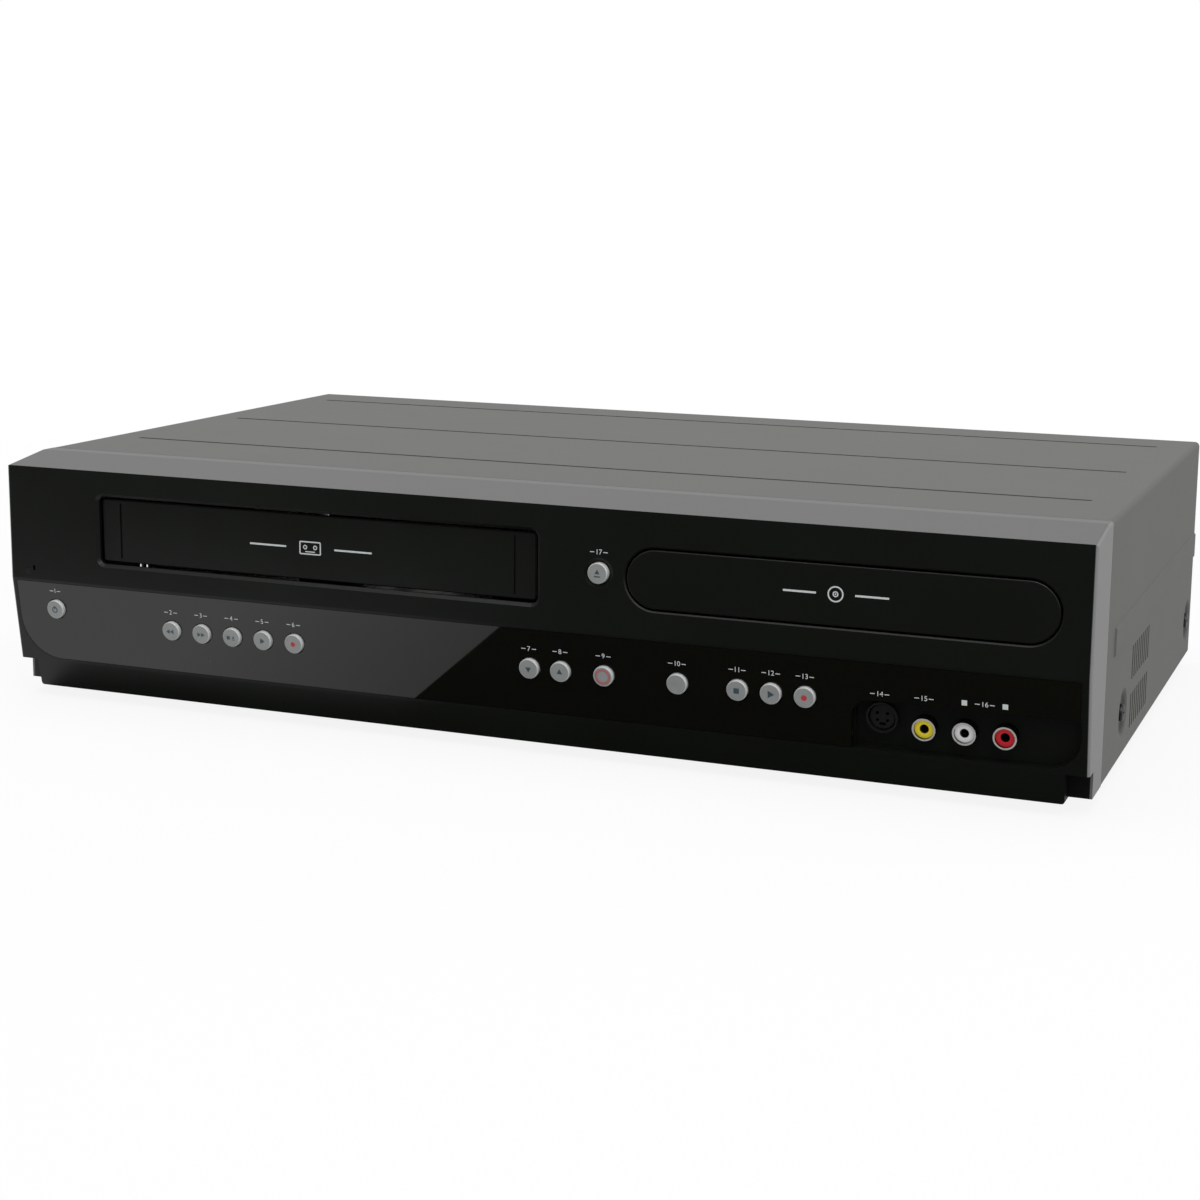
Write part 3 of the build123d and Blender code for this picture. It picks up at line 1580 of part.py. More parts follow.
# ------------------------------------------------------------------ disc drive
def tray_front():
    plate = extrude(SlotOverall(tray_front_width, tray_front_height), -tray_front_thickness)
    plate = fillet(plate.faces().sort_by(Axis.Z)[-1].edges(), small_round)
    return upper_face * Pos(tray_centre, tray_front_level, -tray_front_setback) * plate


def tray_rack_x():
    """x of the pitch line of the rack under the tray."""
    return tray_left + tray_rack_inset


def disc_tray():
    """The drawer: a shallow plate with two stepped wells, an open slot and a rack underneath."""
    rack_end = tray_gear_depth + tray_travel + tray_rack_overrun
    back = rack_end + tray_rack_margin
    tray = block(tray_left, tray_right, tray_start, back, tray_underside, tray_top)
    tray -= rod_z(disc_radius, tray_top - disc_well_depth, tray_top + 1, tray_centre, disc_y)
    low = tray_top - disc_well_depth - small_well_depth
    tray -= rod_z(small_disc_radius, low, tray_top, tray_centre, disc_y)
    half = tray_slot_width / 2
    tray -= block(tray_centre - half, tray_centre + half, disc_y, back + 1, tray_underside - 1, tray_top + 1)
    tray -= rod_z(half, tray_underside - 1, tray_top, tray_centre, disc_y)
    start = rack_start(tray_gear_depth, tray_start + tray_rack_margin, tray_gear_module)
    teeth = rack(rack_end - start, tray_gear_module, tray_rack_height, tray_rack_width)
    return tray + Pos(tray_rack_x(), start, tray_underside - tray_rack_height + eps) * teeth


def tray_gear_centre():
    return tray_rack_x() - tray_gear_teeth * tray_gear_module / 2, tray_gear_depth


def tray_gear():
    x, y = tray_gear_centre()
    floor = loader_floor + loader_floor_thickness
    low = tray_underside - tray_rack_height
    wheel = gear(tray_gear_teeth, tray_gear_module, tray_rack_height - tray_gear_gap)
    wheel = Pos(x, y, low) * wheel
    start = floor + pulley_gap
    wheel += rod_z(pulley_radius, start, start + pulley_thickness, x, y)
    wheel += rod_z(pulley_boss_radius, floor + thrust_gap, low + eps, x, y)
    return wheel - rod_z(carriage_pin_radius + running_clearance, floor - 1, tray_underside, x, y)


def motor_centre():
    x, y = tray_gear_centre()
    return x, y + motor_spacing


def tray_motor():
    """The tray's motor under the loader's floor, with its pulley above it."""
    x, y = motor_centre()
    floor = loader_floor + loader_floor_thickness
    motor = rod_z(motor_radius, loader_floor - motor_length, loader_floor, x, y)
    start = floor + pulley_gap
    motor += rod_z(motor_shaft_radius, loader_floor - eps, start, x, y)
    return motor + rod_z(motor_pulley_radius, start, start + pulley_thickness, x, y)


def tray_belt():
    """The round-cornered loop between the motor's pulley and the gear's pulley."""
    x0, y0 = tray_gear_centre()
    low = loader_floor + loader_floor_thickness + pulley_gap + (pulley_thickness - belt_width) / 2
    big = pulley_radius + running_clearance
    small = motor_pulley_radius + running_clearance

    def loop(grow):
        lean_angle = math.asin((big - small) / motor_spacing)
        reach = math.cos(lean_angle)
        rise = math.sin(lean_angle)
        outer = big + grow
        inner = small + grow
        sides = [
            (outer * reach, outer * rise),
            (inner * reach, motor_spacing + inner * rise),
            (-inner * reach, motor_spacing + inner * rise),
            (-outer * reach, outer * rise),
        ]
        shape = make_face(Polyline(*sides, close=True))
        return shape + Circle(outer) + Pos(0, motor_spacing) * Circle(inner)

    return Pos(x0, y0, low) * extrude(loop(belt_thickness) - loop(0), belt_width)


def loader_frame():
    """The disc drive's frame: floor, side walls with ledges for the tray, and the clamp's bridge."""
    left = loader_inner_left - loader_wall
    right = loader_inner_right + loader_wall
    floor_top = loader_floor + loader_floor_thickness
    frame = block(left, right, loader_front, loader_back, loader_floor, floor_top)
    frame += block(left, loader_inner_left, loader_front, loader_back, loader_floor, loader_top)
    frame += block(loader_inner_right, right, loader_front, loader_back, loader_floor, loader_top)
    for low, high in (
        (tray_underside - slide_clearance - ledge_thickness, tray_underside - slide_clearance),
        (tray_top + slide_clearance, tray_top + slide_clearance + ledge_thickness),
    ):
        frame += block(left, loader_inner_left + ledge_depth, loader_front, loader_back, low, high)
        frame += block(loader_inner_right - ledge_depth, right, loader_front, loader_back, low, high)
    near = disc_y - bridge_width / 2
    low = loader_top - bridge_thickness
    frame += block(left, right, near, near + bridge_width, low, loader_top)
    frame -= rod_z(clamp_hole_radius, low - 1, loader_top + 1, tray_centre, disc_y)
    lug_left = traverse_left - lug_gap
    lug_right = traverse_right + lug_gap
    front = traverse_front - lug_gap
    stop = traverse_hinge_depth + lug_gap
    frame -= block(lug_left, lug_right, front, stop, loader_floor - 1, floor_top + 1)
    for x in (lug_left, lug_right):
        frame += traverse_lug(x)
    x, y = tray_gear_centre()
    frame += rod_z(carriage_pin_radius, floor_top - eps, tray_underside - 1, x, y)
    x, y = motor_centre()
    frame -= rod_z(motor_hole_radius, loader_floor - 1, floor_top + 1, x, y)
    for x in (left + loader_foot_radius, right - loader_foot_radius):
        for y in (cover_front + loader_foot_inset, loader_back - loader_foot_inset):
            frame += rod_z(loader_foot_radius, base_top, loader_floor + eps, x, y)
    return frame


def traverse_lug(x):
    """A lug with the hole for one of the traverse's pins."""
    left = x - lug_thickness / 2
    right = x + lug_thickness / 2
    front = traverse_hinge_depth - lug_radius
    height = traverse_pin_height()
    lug = block(left, right, front, front + 2 * lug_radius, loader_floor, height + lug_radius)
    return lug - rod_x(hinge_pin_radius + hinge_clearance, left - 1, right + 1, traverse_hinge_depth, height)


def traverse_pin_height():
    return traverse_level + traverse_thickness / 2


def traverse_base():
    """The plate that lifts to the disc, with the spindle motor, the two rods and the hinge pins."""
    top = traverse_level + traverse_thickness
    plate = block(traverse_left, traverse_right, traverse_front, traverse_hinge_depth, traverse_level, top)
    reach = lug_gap + lug_thickness / 2
    pin_left = traverse_left - reach
    pin_right = traverse_right + reach
    plate += rod_x(hinge_pin_radius, pin_left, pin_right, traverse_hinge_depth, traverse_pin_height())
    start = disc_y + pickup_start - pickup_length / 2
    stop = disc_y + pickup_start + pickup_travel + pickup_length / 2
    half = rod_spacing / 2
    inner = half - pickup_slot_side
    left = tray_centre - inner
    play = pickup_slot_end
    plate -= block(left, left + 2 * inner, start - play, stop + play, traverse_level - 1, top + 1)
    low = traverse_level - spindle_motor_depth
    plate += rod_z(spindle_motor_radius, low, top + spindle_motor_rise, tray_centre, disc_y)
    overhang = 2 * pickup_slot_end
    holder = 2 * rod_radius
    for side in (-1, 1):
        x = tray_centre + side * half
        plate += rod_y(rod_radius, start - overhang, stop + overhang, x, rod_height)
        for near in (start - overhang - rod_radius + 1, stop + overhang - rod_radius - 1):
            block_top = rod_height + rod_radius + 1
            plate += block(x - holder, x + holder, near, near + holder, traverse_level, block_top)
    return plate + rod_z(spindle_radius, top, turntable_top - spindle_seat, tray_centre, disc_y)


def turntable():
    """The disc seat with its centring cone, on the spindle."""
    low = traverse_level + traverse_thickness + spindle_motor_rise + 1
    plate = rod_z(turntable_radius, turntable_top - turntable_thickness, turntable_top, tray_centre, disc_y)
    plate += rod_z(turntable_boss_radius, low, turntable_top, tray_centre, disc_y)
    cone = Cone(spindle_cone_radius, spindle_cone_radius - spindle_cone_height, spindle_cone_height)
    plate += Pos(tray_centre, disc_y, turntable_top + spindle_cone_height / 2 - eps) * cone
    bore = spindle_radius + running_clearance
    return plate - rod_z(bore, low - 1, turntable_top - spindle_seat + running_clearance, tray_centre, disc_y)


def pickup():
    """The laser unit: a block with eyes on the rods and a lens on top."""
    y = disc_y + pickup_start
    half_length = pickup_length / 2
    half = pickup_width / 2
    left = tray_centre - half
    top = rod_height + rod_radius + running_clearance
    body = block(left, tray_centre + half, y - half_length, y + half_length, traverse_level + 1, top)
    reach = rod_spacing / 2
    eye = rod_radius + pickup_eye_wall
    front = y - pickup_eye_length / 2
    back = y + pickup_eye_length / 2
    for side in (-1, 1):
        ends = sorted((tray_centre + side * reach, tray_centre + side * half))
        body += block(ends[0] - eye, ends[1] + eye, front, back, rod_height - eye, rod_height + eye)
    seat_top = top + lens_seat_height
    body += rod_z(lens_seat_radius, top - eps, seat_top, tray_centre, y)
    body += rod_z(lens_radius, seat_top - eps, seat_top + lens_height, tray_centre, y)
    bore = rod_radius + running_clearance
    for side in (-1, 1):
        body -= rod_y(bore, front - 1, back + 1, tray_centre + side * reach, rod_height)
    return body


def disc_clamp():
    """The loose puck above the disc, hung in the bridge's hole."""
    bridge_low = loader_top - bridge_thickness
    body_top = bridge_low - clamp_gap
    neck = clamp_hole_radius - clamp_neck_gap
    lip_low = loader_top + clamp_lip_gap
    puck = rod_z(clamp_radius, clamp_bottom, body_top, tray_centre, disc_y)
    puck += rod_z(neck, body_top - eps, lip_low + eps, tray_centre, disc_y)
    puck += rod_z(clamp_hole_radius + clamp_lip, lip_low, lip_low + clamp_lip, tray_centre, disc_y)
    well = clamp_bottom + spindle_cone_height + clamp_neck_gap
    return puck - rod_z(spindle_cone_radius + clamp_neck_gap, clamp_bottom - 1, well, tray_centre, disc_y)


# ------------------------------------------------------------------ writing
def save(name, shape):
    export_step(Pos(0, -middle_depth, 0) * shape, f"parts/{name}.step")


def main():
    os.makedirs("parts", exist_ok=True)
    pieces = (
        top_cover, front_bezel, control_window, rear_panel, chassis_base, feet, case_screws, cassette_door,
        door_spring, tray_front, disc_tray, s_video_socket, front_jack_shells, front_jack_inserts,
        lamps_and_receiver, display_tube, front_board, tact_switches, rear_jacks, tuner_module,
        cord_bushing, main_board, power_board, power_parts, heat_sink, deck_chassis,
        lower_drum, upper_drum, capstan, pinch_arm, pinch_roller, cassette_carriage, cassette_holder,
        loading_gear, loader_frame, tray_gear, tray_motor, tray_belt, traverse_base, turntable, pickup,
        disc_clamp,
    )
    for piece in pieces:
        save(piece.__name__, piece())
    save("supply_reel", reel(-1))
    save("take_up_reel", reel(1))
    save("supply_guide", tape_guide(-1))
    save("take_up_guide", tape_guide(1))
    save_buttons(save)


if __name__ == "__main__":
    main()
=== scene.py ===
"""Finishes, printed marks and a plain stage for a full-width disc and cassette player."""

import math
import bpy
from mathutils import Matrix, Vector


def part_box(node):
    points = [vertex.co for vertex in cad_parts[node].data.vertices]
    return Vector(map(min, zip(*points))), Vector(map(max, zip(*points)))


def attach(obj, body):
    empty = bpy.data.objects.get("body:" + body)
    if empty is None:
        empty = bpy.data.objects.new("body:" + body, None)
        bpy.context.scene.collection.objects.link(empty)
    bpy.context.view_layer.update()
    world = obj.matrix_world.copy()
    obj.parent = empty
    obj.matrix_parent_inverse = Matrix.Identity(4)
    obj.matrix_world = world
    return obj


bl_info = {
    "name": "Disc and cassette player",
    "version": (1, 0, 0),
    "blender": (4, 5, 0),
    "location": "View3D > Sidebar > Player",
    "description": "Finishes, marks and a stage for a full-width disc and cassette player",
    "category": "Object",
}

import bpy
from mathutils import Euler, Matrix, Vector

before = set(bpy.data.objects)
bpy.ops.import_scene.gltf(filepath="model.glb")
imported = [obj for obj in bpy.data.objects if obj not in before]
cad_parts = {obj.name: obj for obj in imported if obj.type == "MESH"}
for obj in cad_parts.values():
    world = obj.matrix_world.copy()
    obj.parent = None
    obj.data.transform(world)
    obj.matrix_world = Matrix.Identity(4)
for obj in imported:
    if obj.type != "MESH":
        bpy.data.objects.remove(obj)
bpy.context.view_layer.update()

MM = 0.001
LEAN = math.radians(7.8)
FACE_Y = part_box("front_bezel")[0].y
SIDE_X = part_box("front_bezel")[1].x
TOP_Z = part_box("front_bezel")[1].z
BEVEL_FOOT = TOP_Z - 3.5 * MM
BAND_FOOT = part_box("feet")[0].z + 40 * MM
INK = 0.05 * MM
INK_SEAT = 0.01 * MM
CURVE_STEPS = 40
SOCKET_BORE_SHADE_RADIUS = 1.65 * MM

# The camera of the view that the object is matched to.
CAMERA_PLACE = Vector((0.3302, FACE_Y - 0.711, 0.220))
CAMERA_TURN = (math.radians(79.9885), math.radians(-0.491), math.radians(22.2386))
CAMERA_SHIFT = -0.05

# The stage: the floor's size, where its glow fades in reflections, and where it turns fully white.
FLOOR_SIZE = 14
FADE_LEFT = 0.17
FADE_LENGTH = 0.15
WHITE_START = 0.45
WHITE_LENGTH = 0.5
NEAR_SHARE = 0.88
SIDE_LAMP_SHARE = 0.38
RIM_LAMP_SHARE = 0.3

# The dark cards: reach to the sides, distances from the front's face, and the wall card's height.
CARD_REACH = 2
WINDOW_CARD_REACH = 2.4
WINDOW_CARD_FRONT_X = 0.137
WINDOW_CARD_BACK_X = -0.0576
# The card under the front is a painted shadow: a dark sheet where the object's contact shadow falls, seen
# only in reflections.
CONTACT_SHADOW_REACH = 0.21
WALL_CARD_DEPTH = 1.8
WALL_CARD_HEIGHT = 0.9

# The Mix node's sockets for a colour, by number, because their names repeat.
MIX_FACTOR, MIX_LOW, MIX_HIGH, MIX_COLOUR = 0, 6, 7, 2

FRONT_BUTTONS = [
    "standby_button", "rewind_button", "fast_forward_button", "stop_eject_button", "play_button",
    "record_button", "tracking_down_button", "tracking_up_button", "dubbing_button", "source_button",
    "disc_stop_button",
    "disc_play_button", "disc_record_button",
]


# ---------------------------------------------------------------- shader maths
class Wire:
    """A node's output that can be used in Python expressions."""

    def __init__(self, tree, socket):
        self.tree = tree
        self.socket = socket

    def math(self, operation, other=0.0, swap=False):
        values = (other, self) if swap else (self, other)
        return self.tree.add("ShaderNodeMath", {"operation": operation}, {0: values[0], 1: values[1]})

    def __add__(self, other):
        return self.math("ADD", other)

    def __sub__(self, other):
        return self.math("SUBTRACT", other)

    def __mul__(self, other):
        return self.math("MULTIPLY", other)

    def __truediv__(self, other):
        return self.math("DIVIDE", other)

    def __radd__(self, other):
        return self.math("ADD", other, swap=True)

    def __rsub__(self, other):
        return self.math("SUBTRACT", other, swap=True)

    def __rmul__(self, other):
        return self.math("MULTIPLY", other, swap=True)

    def __abs__(self):
        return self.math("ABSOLUTE")

    def __pow__(self, other):
        return self.math("POWER", other)

    def above(self, level, soft=0.0001):
        """0 under the level and 1 over it, with a soft step."""
        return ((self - (level - soft / 2)) / soft).clamped()

    def clamped(self):
        return self.tree.add("ShaderNodeClamp", {}, {"Value": self})

    def wave(self, pitch):
        """A sine of this length along the value, from 0 to 1."""
        return (self * (2 * math.pi / pitch)).math("SINE") * 0.5 + 0.5


class Finish:
    """One material, built from expressions."""

    def __init__(self, name):
        self.material = bpy.data.materials.new(name)
        self.material.use_nodes = True
        self.nodes = self.material.node_tree.nodes
        self.links = self.material.node_tree.links
        self.nodes.clear()
        self.place = self.add("ShaderNodeTexCoord", {}, {}, "Object")

    def add(self, kind, settings, values, output=0):
        """Adds a node, sets it up, feeds its sockets and returns one of its outputs."""
        node = self.nodes.new(kind)
        for name, value in settings.items():
            setattr(node, name, value)
        for key, value in values.items():
            if isinstance(value, Wire):
                self.links.new(value.socket, node.inputs[key])
            else:
                node.inputs[key].default_value = value
        return Wire(self, node.outputs[output]) if len(node.outputs) else None

    def axes(self):
        """x, y and z of the point, in metres."""
        return [self.add("ShaderNodeSeparateXYZ", {}, {0: self.place}, axis) for axis in "XYZ"]

    def facing(self):
        """x, y and z of the surface's direction."""
        normal = self.add("ShaderNodeNewGeometry", {}, {}, "Normal")
        return [self.add("ShaderNodeSeparateXYZ", {}, {0: normal}, axis) for axis in "XYZ"]

    def noise(self, size, detail=2.0, stretch=(1, 1, 1), rough=0.5):
        """Noise with grains of about this size in metres, around 0.5."""
        place = self.add("ShaderNodeVectorMath", {"operation": "MULTIPLY"}, {0: self.place, 1: stretch})
        values = {"Vector": place, "Scale": 1 / size, "Detail": detail, "Roughness": rough}
        return self.add("ShaderNodeTexNoise", {}, values, "Fac")

    def specks(self, size, share):
        """1 in a few small dots and 0 elsewhere."""
        cells = {"Vector": self.place, "Scale": 1 / size}
        distance = self.add("ShaderNodeTexVoronoi", {}, cells, "Distance")
        colour = self.add("ShaderNodeTexVoronoi", {}, cells, "Color")
        chance = self.add("ShaderNodeSeparateColor", {}, {0: colour})
        return chance.above(1 - share) * (1 - distance.above(0.016, 0.012))

    def blend(self, factor, low, high):
        """A colour between two others."""
        ends = [colour if isinstance(colour, Wire) else (*colour, 1.0) for colour in (low, high)]
        values = {MIX_FACTOR: factor, MIX_LOW: ends[0], MIX_HIGH: ends[1]}
        return self.add("ShaderNodeMix", {"data_type": "RGBA"}, values, MIX_COLOUR)

    def shade(self, colour, factor):
        """A colour made darker or lighter by a factor that varies."""
        return self.blend(factor, tuple(0.0 for _ in colour), tuple(2 * c for c in colour))

    def bump(self, height, depth):
        """A normal from a height between 0 and 1 and a depth in metres."""
        return self.add("ShaderNodeBump", {}, {"Strength": 1.0, "Distance": depth, "Height": height})

    def finish(self, base, rough, metal=0.0, normal=None, **fixed):
        """Joins everything in the surface shader."""
        values = {"Base Color": base if isinstance(base, Wire) else (*base, 1.0)}
        values["Roughness"] = rough
        values["Metallic"] = metal
        if normal is not None:
            values["Normal"] = normal
        for name, value in fixed.items():
            values[name.replace("_", " ")] = value
        shader = self.add("ShaderNodeBsdfPrincipled", {}, values)
        self.add("ShaderNodeOutputMaterial", {}, {"Surface": shader})
        return self.material


# ---------------------------------------------------------------- finishes
def grained_paint(name, colour, rough, grain):
    """Sprayed paint on steel: a fine grain, faint clouds and specks of dust, with painted shade inside the
    sides' dimples and painted shade on faces that look down, and a little on those that look up.
    """
    f = Finish(name)
    fine = f.noise(grain, detail=3)
    clouds = f.noise(60 * MM, detail=3)
    dust = f.specks(14 * MM, 0.06)
    x, _, z = f.axes()
    # Painted shade: the paint is darkened inside the dimples on the lower sides, where shade falls.
    painted_dimple_shade = ((SIDE_X - 0.1 * MM - abs(x)) / (0.7 * MM)).clamped() * (1 - z.above(BAND_FOOT))
    # Painted shade: faces that look down are darkened, and those that look up a little.
    up = f.facing()[2]
    under = (up * -2).clamped()
    painted_facing_shade = 1 - under * 0.45 - up.clamped() * 0.07
    tone = (0.5 + (fine - 0.5) * 0.16 + (clouds - 0.5) * 0.10) * (1 - painted_dimple_shade * 0.75) * painted_facing_shade
    base = f.blend(dust * 0.35, f.shade(colour, tone), (0.45, 0.44, 0.42))
    roughness = rough + (clouds - 0.5) * 0.10 + (fine - 0.5) * 0.08
    return f.finish(base, roughness, normal=f.bump(fine, 0.03 * MM))


def two_tone_moulding(name, black, silver):
    """Black moulded plastic whose top bevel and ends are sprayed silver-grey, with painted light making the
    silver paler on the ends, where the faces look sideways.
    """
    f = Finish(name)
    x, _, z = f.axes()
    up = f.facing()[2]
    top = z.above(BEVEL_FOOT - 0.1 * MM, 0.2 * MM) * up.above(0.25, 0.1)
    sprayed = (top + abs(x).above(SIDE_X - 0.9 * MM, 0.2 * MM)).clamped()
    fine = f.noise(0.35 * MM, detail=3)
    clouds = f.noise(70 * MM, detail=3)
    flakes = f.noise(0.18 * MM, detail=1)
    dark = f.shade(black, 0.5 + (fine - 0.5) * 0.5 + (clouds - 0.5) * 0.3)
    # Painted light: on faces that look sideways the silver is lightened.
    ends = abs(f.facing()[0]).above(0.5, 0.2)
    light = f.shade(silver, (0.5 + (flakes - 0.5) * 0.18 + (clouds - 0.5) * 0.08) * (0.76 + ends * 0.53))
    base = f.blend(f.specks(16 * MM, 0.05) * 0.2, f.blend(sprayed, dark, light), (0.4, 0.4, 0.38))
    roughness = 0.42 + (fine - 0.5) * 0.14 + (clouds - 0.5) * 0.08 - sprayed * 0.04
    normal = f.bump(fine, 0.02 * MM)
    return f.finish(base, roughness, metal=sprayed * 0.25, normal=normal, Specular_IOR_Level=0.32)


def moulded_plastic(name, colour, rough=0.42, grain=0.35 * MM, depth=0.02 * MM, **fixed):
    """Plastic from a lightly eroded mould."""
    f = Finish(name)
    fine = f.noise(grain, detail=3)
    clouds = f.noise(45 * MM, detail=3)
    base = f.shade(colour, 0.5 + (fine - 0.5) * 0.24 + (clouds - 0.5) * 0.16)
    roughness = rough + (fine - 0.5) * 0.12 + (clouds - 0.5) * 0.10
    return f.finish(base, roughness, normal=f.bump(fine, depth), **fixed)


def button_cap(name, colour):
    """Silver-grey lacquer on small caps, with a painted highlight on the rounded rims, strongest where they
    face up and to the right.
    """
    f = Finish(name)
    across, along, up = f.facing()
    # Painted highlight: the edges round each cap, where the face stops looking to the front, are lightened,
    # most where they look up and to the right.
    painted_rim_light = 1 - (along * -1).above(0.93, 0.08)
    fine = f.noise(0.15 * MM, detail=3)
    clouds = f.noise(5 * MM)
    cap = f.shade(colour, 0.5 + (fine - 0.5) * 0.2 + (clouds - 0.5) * 0.12)
    base = f.blend(painted_rim_light * (0.35 + up * 0.4 + across * 0.25).clamped(), cap, (0.75, 0.76, 0.76))
    return f.finish(base, 0.36 + (fine - 0.5) * 0.12 - painted_rim_light * 0.08, normal=f.bump(fine, 0.004 * MM))


def smoked_acrylic(name, colour):
    """A glossy smoked window with faint wiping marks and a few specks of dust."""
    f = Finish(name)
    wipes = f.noise(30 * MM, detail=4, stretch=(0.4, 1, 1.6))
    dust = f.specks(9 * MM, 0.05)
    base = f.blend(dust * 0.5, f.shade(colour, 0.5 + (wipes - 0.5) * 0.2), (0.3, 0.3, 0.29))
    roughness = (0.035 + (wipes - 0.5) * 0.03 + dust * 0.4).clamped()
    return f.finish(base, roughness, normal=f.bump(f.noise(80 * MM), 0.01 * MM), IOR=1.54)


def plated_steel(name, colour, rough=0.38, spangle=9 * MM):
    """Zinc-plated sheet, with the soft patches of its plating and faint rolling lines."""
    f = Finish(name)
    patches = f.add("ShaderNodeTexVoronoi", {}, {"Vector": f.place, "Scale": 1 / spangle}, "Color")
    patch = f.add("ShaderNodeSeparateColor", {}, {0: patches})
    lines = f.noise(0.6 * MM, detail=2, stretch=(0.03, 1, 1))
    base = f.shade(colour, 0.46 + patch * 0.08 + (lines - 0.5) * 0.12)
    roughness = rough + (patch - 0.5) * 0.10 + (lines - 0.5) * 0.12
    return f.finish(base, roughness, metal=0.9, normal=f.bump(lines, 0.01 * MM))


def turned_metal(name, colour, centre, rough=0.28):
    """Metal turned on a lathe, with fine rings round an upright axis."""
    f = Finish(name)
    x, y, z = f.axes()
    radius = ((x - centre.x) ** 2 + (y - centre.y) ** 2) ** 0.5
    rings = radius.wave(0.45 * MM) * 0.6 + (z.wave(0.5 * MM)) * 0.4
    smear = f.noise(12 * MM)
    base = f.shade(colour, 0.47 + rings * 0.05 + (smear - 0.5) * 0.08)
    roughness = rough + rings * 0.06 + (smear - 0.5) * 0.12
    return f.finish(base, roughness, metal=1.0, normal=f.bump(rings, 0.008 * MM))


def socket_nickel(name):
    """Nickel rings, with a painted highlight on the faces that look to the front and painted shade on their
    sides.
    """
    f = Finish(name)
    marks = f.noise(2.5 * MM, detail=4)
    # Painted light and shade: faces that look to the front are a bright grey, and the sides are near black.
    painted_rim_light = (f.facing()[1] * -1).above(0.35, 0.3)
    bright = f.shade((0.80, 0.79, 0.75), 0.47 + (marks - 0.5) * 0.06)
    base = f.blend(painted_rim_light, (0.10, 0.10, 0.09), bright)
    return f.finish(base, 0.25 + (marks - 0.5) * 0.08, metal=1 - painted_rim_light * 0.45, normal=f.bump(marks, 0.002 * MM))


def bright_nickel(name, colour=(0.62, 0.61, 0.57)):
    """Nickel plating with light handling marks."""
    f = Finish(name)
    marks = f.noise(2.5 * MM, detail=4)
    fine = f.noise(0.2 * MM)
    base = f.shade(colour, 0.47 + (marks - 0.5) * 0.06 + fine * 0.03)
    return f.finish(base, 0.24 + (marks - 0.5) * 0.08, metal=0.85, normal=f.bump(marks, 0.002 * MM))


def circuit_board(name, colour, copper):
    """A board with tracks under its lacquer and solder dots."""
    f = Finish(name)
    x, y, z = f.axes()
    wander = f.noise(18 * MM, detail=1)
    tracks = (x + wander * 24 * MM).wave(3.2 * MM).above(0.62, 0.1)
    crossing = (y + z + wander * 20 * MM).wave(4.1 * MM).above(0.7, 0.1)
    patches = f.noise(26 * MM, detail=0).above(0.5, 0.02)
    lines = (tracks * patches + crossing * (1 - patches)).clamped()
    cells = {"Vector": f.place, "Scale": 1 / (3.4 * MM), "Randomness": 0.5}
    spot = f.add("ShaderNodeTexVoronoi", {}, cells, "Distance")
    solder = 1 - spot.above(0.16, 0.03)
    board = f.blend(lines * 0.75, colour, copper)
    base = f.blend(solder, board, (0.62, 0.62, 0.60))
    roughness = 0.42 - solder * 0.14 + (f.noise(8 * MM) - 0.5) * 0.1
    return f.finish(base, roughness, metal=solder * 0.9, normal=f.bump(lines * 0.5 + solder * 0.5, 0.05 * MM))


def soft_rubber(name, colour=(0.02, 0.02, 0.02)):
    """Matt rubber with a dusty bloom."""
    f = Finish(name)
    bloom = f.noise(6 * MM, detail=4)
    fine = f.noise(0.3 * MM, detail=2)
    base = f.blend(bloom.above(0.45, 0.4) * 0.15, f.shade(colour, 0.4 + fine * 0.2), (0.25, 0.24, 0.22))
    return f.finish(base, 0.78 + (bloom - 0.5) * 0.2, normal=f.bump(fine, 0.03 * MM))


def spring_wire(name):
    """Drawn steel wire with faint lengthwise lines."""
    f = Finish(name)
    lines = f.noise(0.12 * MM, detail=2, stretch=(1, 0.2, 0.2))
    return f.finish(f.shade((0.45, 0.45, 0.44), 0.42 + lines * 0.16), 0.25 + lines * 0.1, metal=1.0,
                    normal=f.bump(lines, 0.004 * MM))


def socket_plastic(name, colours, centres, bore_shade_radius):
    """Glossy coloured rings in a row of sockets, each round a hole painted dark as shade."""
    f = Finish(name)
    x, _, z = f.axes()
    fine = f.noise(0.4 * MM)
    base = colours[0]
    for left, right, colour in zip(centres, centres[1:], colours[1:]):
        base = f.blend(x.above((left.x + right.x) / 2), base, colour)
    # Painted shade: each hole in the middle of a ring is coloured near black, for the shade in it.
    for centre in centres:
        radius = ((x - centre.x) ** 2 + (z - centre.z) ** 2) ** 0.5
        base = f.blend(1 - radius.above(bore_shade_radius, 0.2 * MM), base, (0.006, 0.006, 0.006))
    shaded = f.blend((fine - 0.35) * 0.25, base, (0.02, 0.02, 0.02))
    return f.finish(shaded, 0.22 + fine * 0.12, normal=f.bump(fine, 0.006 * MM))


def socket_bank(name, node, colours):
    """Black sockets in columns, each column with its own colour round the mouths at the rear."""
    f = Finish(name)
    low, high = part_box(node)
    width = (high.x - low.x) / len(colours)
    fine = f.noise(0.4 * MM)
    ring = colours[0]
    for step, colour in enumerate(colours[1:], 1):
        ring = f.blend(f.axes()[0].above(low.x + step * width), ring, colour)
    mouth = f.facing()[1].above(0.9)
    base = f.blend(mouth * (0.85 - fine * 0.2), (0.015, 0.015, 0.015), ring)
    return f.finish(base, 0.3 + fine * 0.15, normal=f.bump(fine, 0.006 * MM))


def pressed_ink(name, colour):
    """Screen-printed ink, a little thin in places."""
    f = Finish(name)
    thin = f.noise(0.5 * MM, detail=3)
    return f.finish(f.shade(colour, 0.5 + (thin - 0.5) * 0.3), 0.55 + (thin - 0.5) * 0.2,
                    normal=f.bump(thin, 0.003 * MM))


